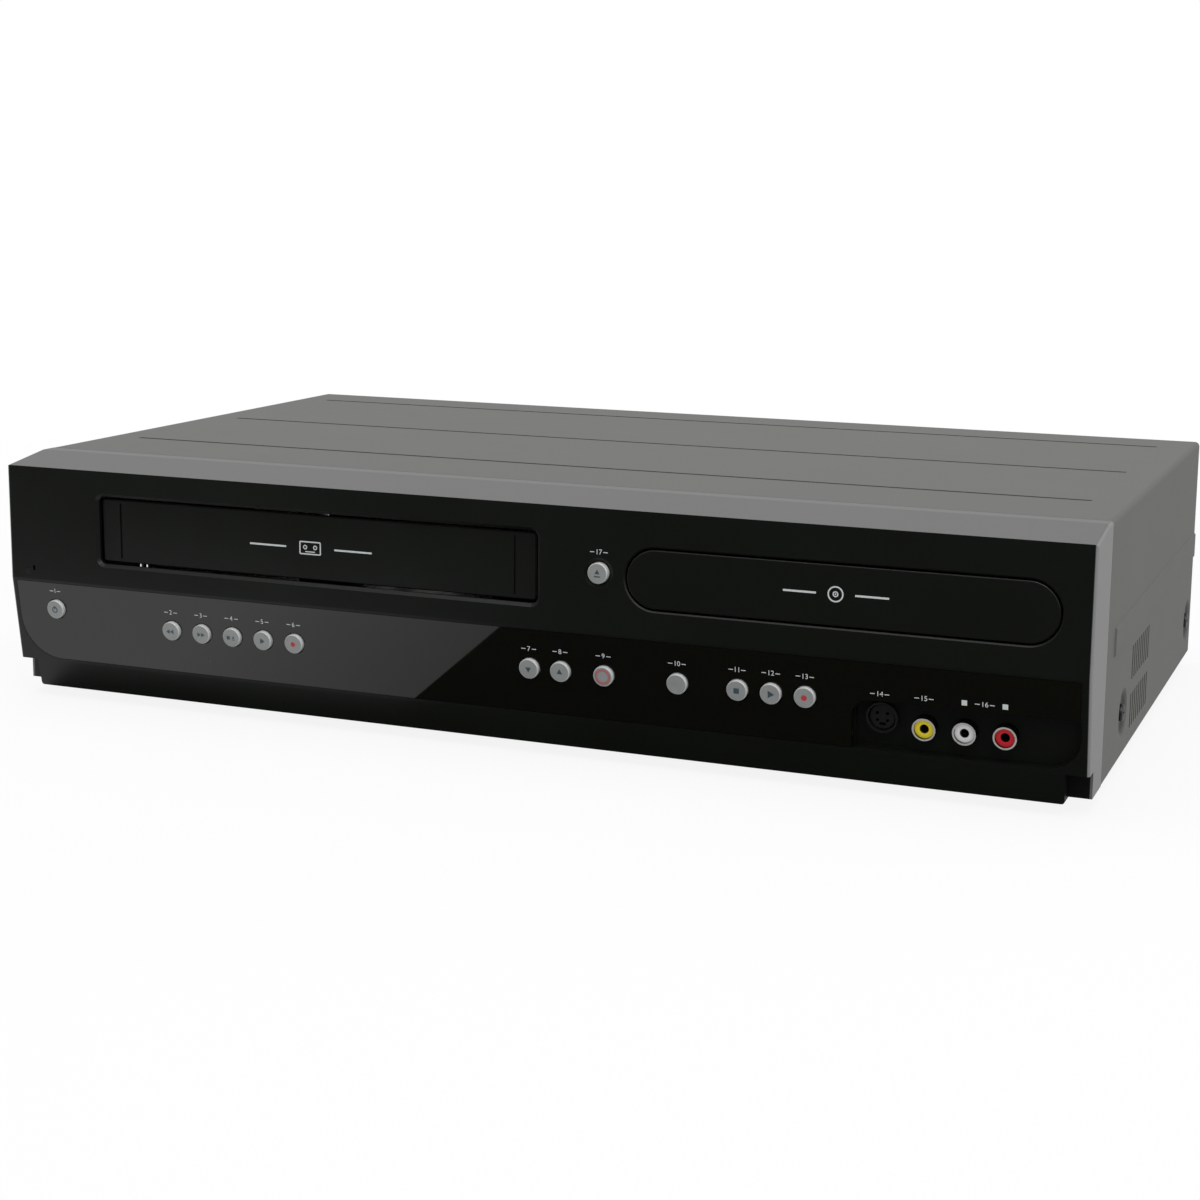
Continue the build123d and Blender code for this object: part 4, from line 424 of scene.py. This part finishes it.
def display_glass(name):
    """The display tube: dark glass over faint unlit segments."""
    f = Finish(name)
    x, _, z = f.axes()
    cells = x.wave(9 * MM).above(0.75, 0.05) * z.wave(7 * MM).above(0.5, 0.05)
    base = f.blend(cells * 0.5, (0.02, 0.03, 0.028), (0.12, 0.16, 0.14))
    return f.finish(base, 0.08 + f.noise(10 * MM) * 0.05, normal=f.bump(cells, 0.01 * MM))


def mixed_parts(name, centre_z):
    """The parts on the power board: a laminated core, a brown winding and dark sleeves."""
    f = Finish(name)
    _, y, z = f.axes()
    layers = y.wave(0.9 * MM)
    winding = f.noise(0.5 * MM, detail=2, stretch=(1, 0.2, 1))
    high = z.above(centre_z, 0.3 * MM)
    core = f.shade((0.10, 0.07, 0.04), 0.35 + layers * 0.3)
    sleeve = f.shade((0.03, 0.03, 0.045), 0.4 + winding * 0.2)
    base = f.blend(high, core, sleeve)
    return f.finish(base, 0.45 + layers * 0.15, normal=f.bump(layers, 0.04 * MM))


# ---------------------------------------------------------------- modelling
def deselect():
    """Clears the selection, because operators act on all of it."""
    for thing in bpy.context.selected_objects:
        thing.select_set(False)


def only(thing):
    """Makes one object the selected and active one."""
    deselect()
    thing.select_set(True)
    bpy.context.view_layer.objects.active = thing
    return thing


def in_edit_mode(thing, *steps):
    """Runs modelling steps on all of a mesh in edit mode."""
    only(thing)
    bpy.ops.object.mode_set(mode="EDIT")
    bpy.ops.mesh.select_all(action="SELECT")
    for step in steps:
        step()
    bpy.ops.object.mode_set(mode="OBJECT")
    return thing


def place(thing, matrix):
    """Moves a finished mesh to its place, with the object left at the origin."""
    only(thing)
    thing.matrix_world = matrix @ thing.matrix_world
    bpy.ops.object.transform_apply(location=True, rotation=True, scale=True)
    return thing


def join(things, name):
    """Makes one piece of several meshes."""
    deselect()
    for thing in things:
        thing.select_set(True)
    bpy.context.view_layer.objects.active = things[0]
    if len(things) > 1:
        bpy.ops.object.join()
    things[0].name = name
    return things[0]


def thicken(sheet, thickness):
    """Gives a flat outline its thickness, upwards from z = 0."""
    def close():
        bpy.ops.mesh.normals_make_consistent(inside=False)

    only(sheet)
    solid = sheet.modifiers.new("thickness", "SOLIDIFY")
    solid.thickness = thickness
    solid.offset = 1.0 if sheet.data.polygons[0].normal.z > 0 else -1.0
    bpy.ops.object.modifier_apply(modifier=solid.name)
    return in_edit_mode(sheet, close)


def disc(radius, x=0.0, y=0.0, sides=CURVE_STEPS, turn=0.0):
    """A flat disc, or with few sides a flat polygon, turned about its middle."""
    deselect()
    bpy.ops.mesh.primitive_circle_add(
        vertices=sides, radius=radius, fill_type="NGON", location=(x, y, 0), rotation=(0, 0, turn)
    )
    return place(bpy.context.active_object, Matrix())


def ring(radius, width, x=0.0, y=0.0):
    """A flat ring, measured to its outer edge."""
    deselect()
    bpy.ops.mesh.primitive_circle_add(vertices=CURVE_STEPS, radius=radius, location=(0, 0, 0))
    shrink = (radius - width) / radius

    def inwards():
        bpy.ops.mesh.extrude_region()
        bpy.ops.transform.resize(value=(shrink, shrink, 1), center_override=(0, 0, 0))

    def facing_up():
        bpy.ops.mesh.select_all(action="SELECT")
        bpy.ops.mesh.normals_make_consistent(inside=False)

    band = in_edit_mode(bpy.context.active_object, inwards, facing_up)
    return place(band, Matrix.Translation((x, y, 0)))


def bar(width, height, x=0.0, y=0.0, turn=0.0, corner=0.0):
    """A flat bar about a middle point, with its corners rounded."""
    deselect()
    bpy.ops.mesh.primitive_plane_add(size=1)
    strip = place(bpy.context.active_object, Matrix.Diagonal((width, height, 1, 1)))
    if corner:
        in_edit_mode(strip, lambda: bpy.ops.mesh.bevel(offset=corner, segments=5, affect="VERTICES"))
    return place(strip, Matrix.Translation((x, y, 0)) @ Matrix.Rotation(turn, 4, "Z"))


def frame_outline(width, height, line, corner):
    """A rounded frame with an even line."""
    outline = bar(width, height, corner=corner)

    def hollow():
        bpy.ops.mesh.inset(thickness=line)
        bpy.ops.mesh.delete(type="FACE")

    return in_edit_mode(outline, hollow)


def triangle(size, x=0.0, y=0.0, turn=0.0):
    """A flat triangle that points right before it is turned."""
    return disc(size * 0.62, x, y, sides=3, turn=turn - math.pi / 2)


def numeral(text, height, x, y):
    """A plain number as a flat mesh, about its middle."""
    deselect()
    bpy.ops.object.text_add(location=(0, 0, 0))
    writing = bpy.context.active_object
    writing.data.body = text
    writing.data.size = height * 1.4
    writing.data.align_x = "CENTER"
    writing.data.align_y = "CENTER"
    writing.data.resolution_u = 4
    bpy.ops.object.convert(target="MESH")
    return place(bpy.context.active_object, Matrix.Translation((x, y, 0)))


class Panel:
    """A flat face of the object, with a place and directions to lay marks on."""

    def __init__(self, node, lean):
        self.right = Vector((1, 0, 0))
        self.up = Vector((0, -math.sin(lean), math.cos(lean)))
        self.out = Vector((0, -math.cos(lean), -math.sin(lean)))
        self.points = [v.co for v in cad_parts[node].data.vertices]
        self.reach = max(p.dot(self.out) for p in self.points)

    def at(self, x, z):
        """The matrix of a place on the face, given as x and height."""
        depth = (self.reach - z * self.out.z) / self.out.y
        return self.matrix(Vector((x, depth, z)))

    def matrix(self, point):
        turned = Matrix((self.right, self.up, self.out)).transposed().to_4x4()
        return Matrix.Translation(point - self.out * INK_SEAT) @ turned

    def middle(self):
        """The matrix of the middle of the frontmost face."""
        front = [p for p in self.points if self.reach - p.dot(self.out) < INK_SEAT]
        low = Vector([min(p[i] for p in front) for i in range(3)])
        high = Vector([max(p[i] for p in front) for i in range(3)])
        return self.matrix((low + high) / 2)


def lay_on(mark, name, material, body):
    """Gives a printed mark that is in its place its name and ink, and lets it ride on a body."""
    mark.name = name
    mark.data.materials.clear()
    mark.data.materials.append(material)
    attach(mark, body)
    return mark


def lay(shapes, name, matrix, material, body):
    """Joins flat shapes into one printed mark, lays it on a face and lets it ride on a body."""
    mark = place(join([thicken(shape, INK) for shape in shapes], name), matrix)
    return lay_on(mark, name, material, body)


def dress(material, *nodes):
    """Gives CAD nodes their finish."""
    for node in nodes:
        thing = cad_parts[node]
        if not thing.material_slots:
            thing.data.materials.append(material)
        for slot in thing.material_slots:
            slot.material = material


# ---------------------------------------------------------------- what a user can change
class PlayerColours(bpy.types.PropertyGroup):
    """Colours of the paint, plastic and print."""

    cover: bpy.props.FloatVectorProperty(
        name="Cover", description="Painted steel cover", subtype="COLOR",
        default=(0.101, 0.102, 0.095), min=0, max=1)
    silver: bpy.props.FloatVectorProperty(
        name="Silver", description="Sprayed bevel and ends", subtype="COLOR",
        default=(0.185, 0.185, 0.183), min=0, max=1)
    black: bpy.props.FloatVectorProperty(
        name="Black", description="Front moulding", subtype="COLOR",
        default=(0.0042, 0.0060, 0.0040), min=0, max=1)
    window: bpy.props.FloatVectorProperty(
        name="Window", description="Smoked control window", subtype="COLOR",
        default=(0.003, 0.003, 0.002), min=0, max=1)
    button: bpy.props.FloatVectorProperty(
        name="Buttons", description="Silver-grey button caps", subtype="COLOR",
        default=(0.23, 0.24, 0.235), min=0, max=1)
    print_grey: bpy.props.FloatVectorProperty(
        name="Print", description="Pale printed marks", subtype="COLOR",
        default=(0.50, 0.53, 0.53), min=0, max=1)
    glyph: bpy.props.FloatVectorProperty(
        name="Symbols", description="Symbols on the buttons", subtype="COLOR",
        default=(0.035, 0.065, 0.085), min=0, max=1)
    red: bpy.props.FloatVectorProperty(
        name="Red", description="Record dots and ring", subtype="COLOR",
        default=(0.42, 0.02, 0.03), min=0, max=1)


class PlayerMarks(bpy.types.PropertyGroup):
    """Sizes and places of the printed marks."""

    label_height: bpy.props.FloatProperty(
        name="Number height", description="Height of the small numbers", unit="LENGTH",
        default=1.9 * MM)
    label_rise: bpy.props.FloatProperty(
        name="Number rise", description="Height of a number over its button", unit="LENGTH",
        default=7.6 * MM)
    socket_rise: bpy.props.FloatProperty(
        name="Socket number rise", description="Height of a number over its socket", unit="LENGTH",
        default=11.2 * MM)
    rule_length: bpy.props.FloatProperty(
        name="Rule length", description="Length of the rules beside a number", unit="LENGTH",
        default=1.7 * MM)
    rule_width: bpy.props.FloatProperty(
        name="Rule width", description="Thickness of the thin rules", unit="LENGTH",
        default=0.28 * MM)
    symbol: bpy.props.FloatProperty(
        name="Symbol size", description="Size of the symbols on the buttons", unit="LENGTH",
        default=2.8 * MM)
    sign_height: bpy.props.FloatProperty(
        name="Sign height", description="Height of the door's and the tray's signs", unit="LENGTH",
        default=5.2 * MM)


class PlayerStudio(bpy.types.PropertyGroup):
    """Camera and light."""

    lens: bpy.props.FloatProperty(name="Lens", description="Focal length", unit="CAMERA", default=65.09)
    key: bpy.props.FloatProperty(
        name="Key light", description="Power of the main lamp", unit="POWER", default=16.5)
    sky: bpy.props.FloatProperty(name="Sky", description="Strength of the light from all round", default=0.62)
    card: bpy.props.BoolProperty(
        name="Dark cards", description="Cards that only reflections show", default=True)


# ---------------------------------------------------------------- pieces
def colours():
    return bpy.context.scene.player_colours


def marks():
    return bpy.context.scene.player_marks


def printed(name, colour):
    """One ink for each colour, made when it is first asked for."""
    return bpy.data.materials.get(name) or pressed_ink(name, tuple(colour))


class PLAYER_OT_case(bpy.types.Operator):
    """Finish the cover, the front, the back and the feet"""

    bl_idname = "player.case"
    bl_label = "Finish the case"

    def execute(self, context):
        c = colours()
        dress(grained_paint("cover_paint", tuple(c.cover), 0.46, 0.5 * MM), "top_cover")
        dress(two_tone_moulding("front_moulding", tuple(c.black), tuple(c.silver)), "front_bezel")
        dress(smoked_acrylic("smoked_window", tuple(c.window)), "control_window")
        dress(moulded_plastic("door_moulding", tuple(c.black), rough=0.36), "cassette_door", "tray_front")
        dress(plated_steel("plated_sheet", (0.48, 0.48, 0.46)), "rear_panel", "chassis_base")
        dress(plated_steel("blackened_screws", (0.06, 0.06, 0.06), rough=0.34, spangle=4 * MM), "case_screws")
        dress(soft_rubber("foot_rubber"), "feet")
        dress(moulded_plastic("black_fitting", (0.015, 0.015, 0.015), rough=0.38), "cord_bushing")
        return {"FINISHED"}


class PLAYER_OT_buttons(bpy.types.Operator):
    """Finish the buttons and print their symbols"""

    bl_idname = "player.buttons"
    bl_label = "Buttons and symbols"

    def symbols(self, size):
        """The flat shapes of each button's symbol, by button, with the ink's name."""
        step = size * 0.5
        thin = size * 0.16
        up = math.pi / 2

        def pair(turn):
            return [triangle(size * 0.6, side * step * 0.62, turn=turn) for side in (-1, 1)]

        def power():
            return [ring(size * 0.46, thin), bar(thin, size * 0.5, y=size * 0.32)]

        def eject(scale=1.0, x=0.0):
            height = size * scale
            foot = bar(height * 0.8, height * 0.16, x, -height * 0.42)
            return [triangle(height * 0.66, x, height * 0.12, up), foot]

        return {
            "standby_button": ("symbol_ink", power()),
            "rewind_button": ("symbol_ink", pair(math.pi)),
            "fast_forward_button": ("symbol_ink", pair(0.0)),
            "stop_eject_button": (
                "symbol_ink",
                [bar(size * 0.5, size * 0.5, x=-step * 0.85, corner=0.05 * MM), *eject(0.62, step * 0.75)]),
            "play_button": ("symbol_ink", [triangle(size * 0.78)]),
            "record_button": ("red_ink", [disc(size * 0.34)]),
            "tracking_down_button": ("symbol_ink", [triangle(size * 0.74, turn=-up)]),
            "tracking_up_button": ("symbol_ink", [triangle(size * 0.74, turn=up)]),
            "dubbing_button": ("red_ink", [ring(2.9 * MM, 0.3 * MM), ring(2.35 * MM, 0.2 * MM)]),
            "disc_stop_button": ("symbol_ink", [bar(size * 0.72, size * 0.72, corner=0.08 * MM)]),
            "disc_play_button": ("symbol_ink", [triangle(size * 0.92)]),
            "disc_record_button": ("red_ink", [disc(size * 0.38)]),
            "open_close_button": ("symbol_ink", eject()),
        }

    def execute(self, context):
        c = colours()
        dress(button_cap("button_cap", tuple(c.button)), *FRONT_BUTTONS, "open_close_button")
        inks = {"symbol_ink": c.glyph, "red_ink": c.red}
        for button, (ink, shapes) in self.symbols(marks().symbol).items():
            face = Panel(button, 0.0 if button == "open_close_button" else LEAN)
            name = button.replace("_button", "_symbol")
            lay(shapes, name, face.middle(), printed(ink, inks[ink]), button)
        return {"FINISHED"}


class PLAYER_OT_front_print(bpy.types.Operator):
    """Print plain numbers and signs on the window, the door and the tray"""

    bl_idname = "player.front_print"
    bl_label = "Front print"

    def label(self, text, matrix):
        """A small number between two thin rules, laid flat and moved to its place."""
        m = marks()
        digits = numeral(text, m.label_height, 0, 0)
        width = digits.dimensions.x
        reach = width / 2 + m.rule_length * 0.5 + 0.7 * MM
        shapes = [digits]
        for side in (-1, 1):
            shapes.append(bar(m.rule_length, m.rule_width, side * reach))
        return place(join([thicken(shape, INK) for shape in shapes], "label"), matrix)

    def execute(self, context):
        m = marks()
        ink = printed("print_ink", colours().print_grey)
        window = Panel("control_window", LEAN)
        labels = []
        for number, button in enumerate(FRONT_BUTTONS):
            spot = Panel(button, LEAN).middle().translation
            labels.append(self.label(str(number + 1), window.at(spot.x, spot.z + m.label_rise)))
        video, left, right = jack_centres()
        height = video.z + m.socket_rise
        low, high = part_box("s_video_socket")
        labels.append(self.label("14", window.at((low.x + high.x) / 2, height)))
        labels.append(self.label("15", window.at(video.x, height)))
        labels.append(self.label("16", window.at((left.x + right.x) / 2, height)))
        for centre in (left, right):
            patch = thicken(bar(m.label_height, m.label_height), INK)
            labels.append(place(patch, window.at(centre.x, height)))
        prints = join(labels, "window_numbers")
        lay_on(prints, "window_numbers", ink, "case")
        eject = Panel("open_close_button", 0.0).middle().translation
        number = self.label("17", Panel("front_bezel", 0.0).at(eject.x, eject.z + m.label_rise))
        lay_on(number, "open_close_number", ink, "case")
        self.signs(ink)
        return {"FINISHED"}

    def signs(self, ink):
        """A cassette on the door and a disc on the tray, each between two rules."""
        m = marks()
        height = m.sign_height
        door = Panel("cassette_door", 0.0)
        cassette = [frame_outline(height * 1.8, height, 0.5 * MM, 0.6 * MM)]
        cassette += [ring(height * 0.17, 0.4 * MM, side * height * 0.42, height * 0.05) for side in (-1, 1)]
        cassette += [bar(height * 0.8, 0.4 * MM, 0, -height * 0.28)]
        cassette += [bar(16 * MM, 0.7 * MM, side * 18.5 * MM) for side in (-1, 1)]
        lay(cassette, "door_sign", door.at(-79.5 * MM, 72.0 * MM), ink, "cassette_door")
        tray = Panel("tray_front", 0.0)
        platter = [ring(height * 0.55, 0.5 * MM), ring(height * 0.2, 0.4 * MM), disc(height * 0.06)]
        platter += [bar(12 * MM, 0.7 * MM, side * 13.0 * MM) for side in (-1, 1)]
        lay(platter, "tray_sign", tray.at(128.65 * MM, 72.0 * MM), ink, "disc_drawer")


def jack_centres():
    """The middles of the faces of the three round sockets in the front."""
    low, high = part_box("front_jack_inserts")
    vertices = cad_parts["front_jack_inserts"].data.vertices
    points = [v.co for v in vertices if v.co.y < low.y + MM]
    third = (high.x - low.x) / 3
    centres = []
    for step in range(3):
        own = [p for p in points if abs(p.x - low.x - (step + 0.5) * third) <= third / 2]
        xs = [p.x for p in own]
        zs = [p.z for p in own]
        centres.append(Vector(((min(xs) + max(xs)) / 2, low.y, (min(zs) + max(zs)) / 2)))
    return centres


class PLAYER_OT_sockets(bpy.types.Operator):
    """Finish the front and rear sockets"""

    bl_idname = "player.sockets"
    bl_label = "Sockets"

    def execute(self, context):
        row = ((0.75, 0.60, 0.02), (0.70, 0.70, 0.70), (0.55, 0.01, 0.02))
        dress(socket_plastic("socket_rings", row, jack_centres(), SOCKET_BORE_SHADE_RADIUS), "front_jack_inserts")
        yellow, white, red = row
        bank = (yellow, white, red, (0.02, 0.07, 0.45), (0.02, 0.30, 0.06))
        dress(socket_bank("rear_socket_rings", "rear_jacks", bank), "rear_jacks")
        dress(socket_nickel("socket_nickel"), "front_jack_shells")
        dress(moulded_plastic("socket_black", (0.010, 0.010, 0.010), rough=0.3), "s_video_socket")
        return {"FINISHED"}


class PLAYER_OT_inside(bpy.types.Operator):
    """Finish everything inside the case"""

    bl_idname = "player.inside"
    bl_label = "Inside parts"

    def execute(self, context):
        green = circuit_board("lacquered_board", (0.055, 0.10, 0.03), (0.14, 0.20, 0.06))
        dress(green, "main_board", "power_board")
        dress(circuit_board("paper_board", (0.20, 0.13, 0.05), (0.30, 0.20, 0.08)), "front_board")
        steel = plated_steel("deck_steel", (0.52, 0.51, 0.48), spangle=7 * MM)
        dress(steel, "deck_chassis", "cassette_holder", "cassette_carriage", "tuner_module", "traverse_base")
        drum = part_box("upper_drum")
        centre = (drum[0] + drum[1]) / 2
        dress(turned_metal("drum_aluminium", (0.62, 0.62, 0.62), centre), "upper_drum", "lower_drum")
        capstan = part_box("capstan")
        dress(turned_metal("capstan_steel", (0.40, 0.40, 0.39), (capstan[0] + capstan[1]) / 2), "capstan")
        dress(bright_nickel("guide_nickel"), "supply_guide", "take_up_guide", "tray_motor", "pinch_arm")
        dress(plated_steel("sink_aluminium", (0.55, 0.55, 0.55), rough=0.3, spangle=30 * MM), "heat_sink")
        white = moulded_plastic("gear_plastic", (0.72, 0.71, 0.66), rough=0.35, grain=0.6 * MM)
        dress(white, "tray_gear", "loading_gear", "disc_clamp")
        black = moulded_plastic("inner_black", (0.018, 0.018, 0.019), rough=0.4)
        dress(black, "loader_frame", "supply_reel", "take_up_reel", "turntable", "pickup", "tact_switches")
        dress(moulded_plastic("tray_plastic", (0.035, 0.036, 0.038), rough=0.4, grain=0.25 * MM), "disc_tray")
        dress(soft_rubber("roller_rubber"), "pinch_roller", "tray_belt")
        dress(spring_wire("door_spring_wire"), "door_spring")
        dress(display_glass("display_tube_glass"), "display_tube")
        resin = (0.018, 0.018, 0.02)
        lamp = moulded_plastic("lamp_resin", resin, rough=0.15, grain=1.2 * MM, depth=0.004 * MM)
        dress(lamp, "lamps_and_receiver")
        low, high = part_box("power_parts")
        dress(mixed_parts("power_parts_mix", (low.z + high.z) / 2), "power_parts")
        return {"FINISHED"}


class PLAYER_OT_studio(bpy.types.Operator):
    """Set up the floor, the lamps, the cards and the camera"""

    bl_idname = "player.studio"
    bl_label = "Stage"

    def floor(self):
        """A pale floor that the camera sees nearly white, and that keeps the object's shadow."""
        f = Finish("floor_paint")
        grain = f.noise(400 * MM)
        diffuse = f.add("ShaderNodeBsdfDiffuse", {}, {"Color": f.shade((0.8, 0.8, 0.8), 0.49 + grain * 0.02)})
        kinds = ("Camera", "Glossy", "Transmission")
        seen, glossy, through = [f.add("ShaderNodeLightPath", {}, {}, f"Is {kind} Ray") for kind in kinds]
        x, y, _ = f.axes()
        fading = ((x + FADE_LEFT) / FADE_LENGTH).clamped() * glossy
        far = (((x * x + y * y) ** 0.5 - WHITE_START) / WHITE_LENGTH).clamped()
        glow = f.blend(fading, (1.0, 1.0, 1.0), (0.5, 0.5, 0.5))
        bright = f.add("ShaderNodeEmission", {}, {"Color": glow, "Strength": 1.0})
        share = (seen * (NEAR_SHARE + far * (1 - NEAR_SHARE)) + glossy + through).clamped()
        mixed = f.add("ShaderNodeMixShader", {}, {0: share, 1: diffuse, 2: bright})
        f.add("ShaderNodeOutputMaterial", {}, {"Surface": mixed})
        deselect()
        bpy.ops.mesh.primitive_plane_add(size=FLOOR_SIZE, location=(0, 0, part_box("feet")[0].z))
        ground = bpy.context.active_object
        ground.name = "floor"
        ground.data.materials.append(f.material)

    def card(self, name, corners):
        """A dark four-cornered card that only shows in reflections."""
        f = Finish(name + "_black")
        f.finish((0.004, 0.004, 0.004), 1.0)
        deselect()
        bpy.ops.mesh.primitive_plane_add(size=1)
        flag = bpy.context.active_object
        flag.name = name
        for vertex, corner in zip(flag.data.vertices, corners):
            vertex.co = corner
        flag.data.materials.append(f.material)
        for ray in ("camera", "diffuse", "shadow", "transmission", "volume_scatter"):
            setattr(flag, "visible_" + ray, False)
        return flag

    def floor_card(self, name, front_xs, back_xs, front, back, height):
        """A card that lies on the floor, given by its ends at a front and a back depth."""
        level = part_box("feet")[0].z + height
        corners = [(x, front, level) for x in front_xs] + [(x, back, level) for x in back_xs]
        return self.card(name, corners)

    def world(self, strength):
        """White behind everything for the camera, and a softer light on the object."""
        world = bpy.data.worlds.new("studio")
        bpy.context.scene.world = world
        world.use_nodes = True
        tree = world.node_tree
        tree.nodes.clear()
        rays = tree.nodes.new("ShaderNodeLightPath")
        background = tree.nodes.new("ShaderNodeBackground")
        output = tree.nodes.new("ShaderNodeOutputWorld")
        level = tree.nodes.new("ShaderNodeMapRange")
        level.inputs["To Min"].default_value = strength
        level.inputs["To Max"].default_value = 1.0
        tree.links.new(rays.outputs["Is Camera Ray"], level.inputs["Value"])
        tree.links.new(level.outputs["Result"], background.inputs["Strength"])
        background.inputs["Color"].default_value = (1, 1, 1, 1)
        tree.links.new(background.outputs["Background"], output.inputs["Surface"])

    def lamp(self, name, power, size, location, target=(0, 0, 0.05)):
        """A square lamp turned to a point on the object."""
        deselect()
        bpy.ops.object.light_add(type="AREA", location=location)
        lamp = bpy.context.active_object
        lamp.name = name
        lamp.data.energy = power
        lamp.data.size = size
        lamp.rotation_euler = (Vector(target) - Vector(location)).to_track_quat("-Z", "Y").to_euler()

    def camera(self, lens):
        """The camera at the matched view."""
        deselect()
        bpy.ops.object.camera_add(location=CAMERA_PLACE, rotation=Euler(CAMERA_TURN))
        camera = bpy.context.active_object
        camera.data.lens = lens
        camera.data.shift_y = CAMERA_SHIFT
        bpy.context.scene.camera = camera

    def execute(self, context):
        studio = context.scene.player_studio
        self.floor()
        self.world(studio.sky)
        self.lamp("key_lamp", studio.key, 1.5, (-0.2, -0.1, 2.0))
        self.lamp("side_lamp", studio.key * SIDE_LAMP_SHARE, 1.2, (1.9, -0.4, 1.0))
        self.lamp("rim_lamp", studio.key * RIM_LAMP_SHARE, 0.35, (0.6, -1.0, 1.3))
        if studio.card:
            window_fronts = (WINDOW_CARD_FRONT_X, WINDOW_CARD_REACH)
            window_backs = (WINDOW_CARD_BACK_X, WINDOW_CARD_REACH)
            wide = (-CARD_REACH, CARD_REACH)
            under = (-CONTACT_SHADOW_REACH, CONTACT_SHADOW_REACH)
            self.floor_card("floor_card", window_fronts, window_backs, FACE_Y - 1.5, FACE_Y + 0.02, 0.5 * MM)
            self.floor_card("front_card", wide, wide, FACE_Y - 2.2, FACE_Y - 0.13, 0.6 * MM)
            # Painted shadow: a dark sheet on the floor under and just in front of the object, where its
            # contact shadow falls, seen only in reflections.
            self.floor_card("contact_shadow_card", under, under, FACE_Y - 0.018, FACE_Y + 0.26, 0.7 * MM)
            wall = FACE_Y - WALL_CARD_DEPTH
            self.card("wall_card", [(x, wall, z) for z in (0, WALL_CARD_HEIGHT) for x in wide])
        self.camera(studio.lens)
        context.scene.view_settings.view_transform = "Standard"
        return {"FINISHED"}


STEPS = (
    PLAYER_OT_case, PLAYER_OT_buttons, PLAYER_OT_front_print, PLAYER_OT_sockets, PLAYER_OT_inside,
    PLAYER_OT_studio,
)
GROUPS = (PlayerColours, PlayerMarks, PlayerStudio)


class PLAYER_PT_panel(bpy.types.Panel):
    """The steps, and what can be changed before them."""

    bl_label = "Player"
    bl_idname = "PLAYER_PT_panel"
    bl_space_type = "VIEW_3D"
    bl_region_type = "UI"
    bl_category = "Player"

    def draw(self, context):
        for group in (context.scene.player_colours, context.scene.player_marks, context.scene.player_studio):
            for name in group.__annotations__:
                self.layout.prop(group, name)
        for step in STEPS:
            self.layout.operator(step.bl_idname)


def register():
    for thing in (*GROUPS, *STEPS, PLAYER_PT_panel):
        bpy.utils.register_class(thing)
    bpy.types.Scene.player_colours = bpy.props.PointerProperty(type=PlayerColours)
    bpy.types.Scene.player_marks = bpy.props.PointerProperty(type=PlayerMarks)
    bpy.types.Scene.player_studio = bpy.props.PointerProperty(type=PlayerStudio)


def unregister():
    del bpy.types.Scene.player_colours
    del bpy.types.Scene.player_marks
    del bpy.types.Scene.player_studio
    for thing in (*GROUPS, *STEPS, PLAYER_PT_panel):
        bpy.utils.unregister_class(thing)


def main():
    register()
    for step in STEPS:
        family, name = step.bl_idname.split(".")
        getattr(getattr(bpy.ops, family), name)()


if __name__ == "__main__":
    main()
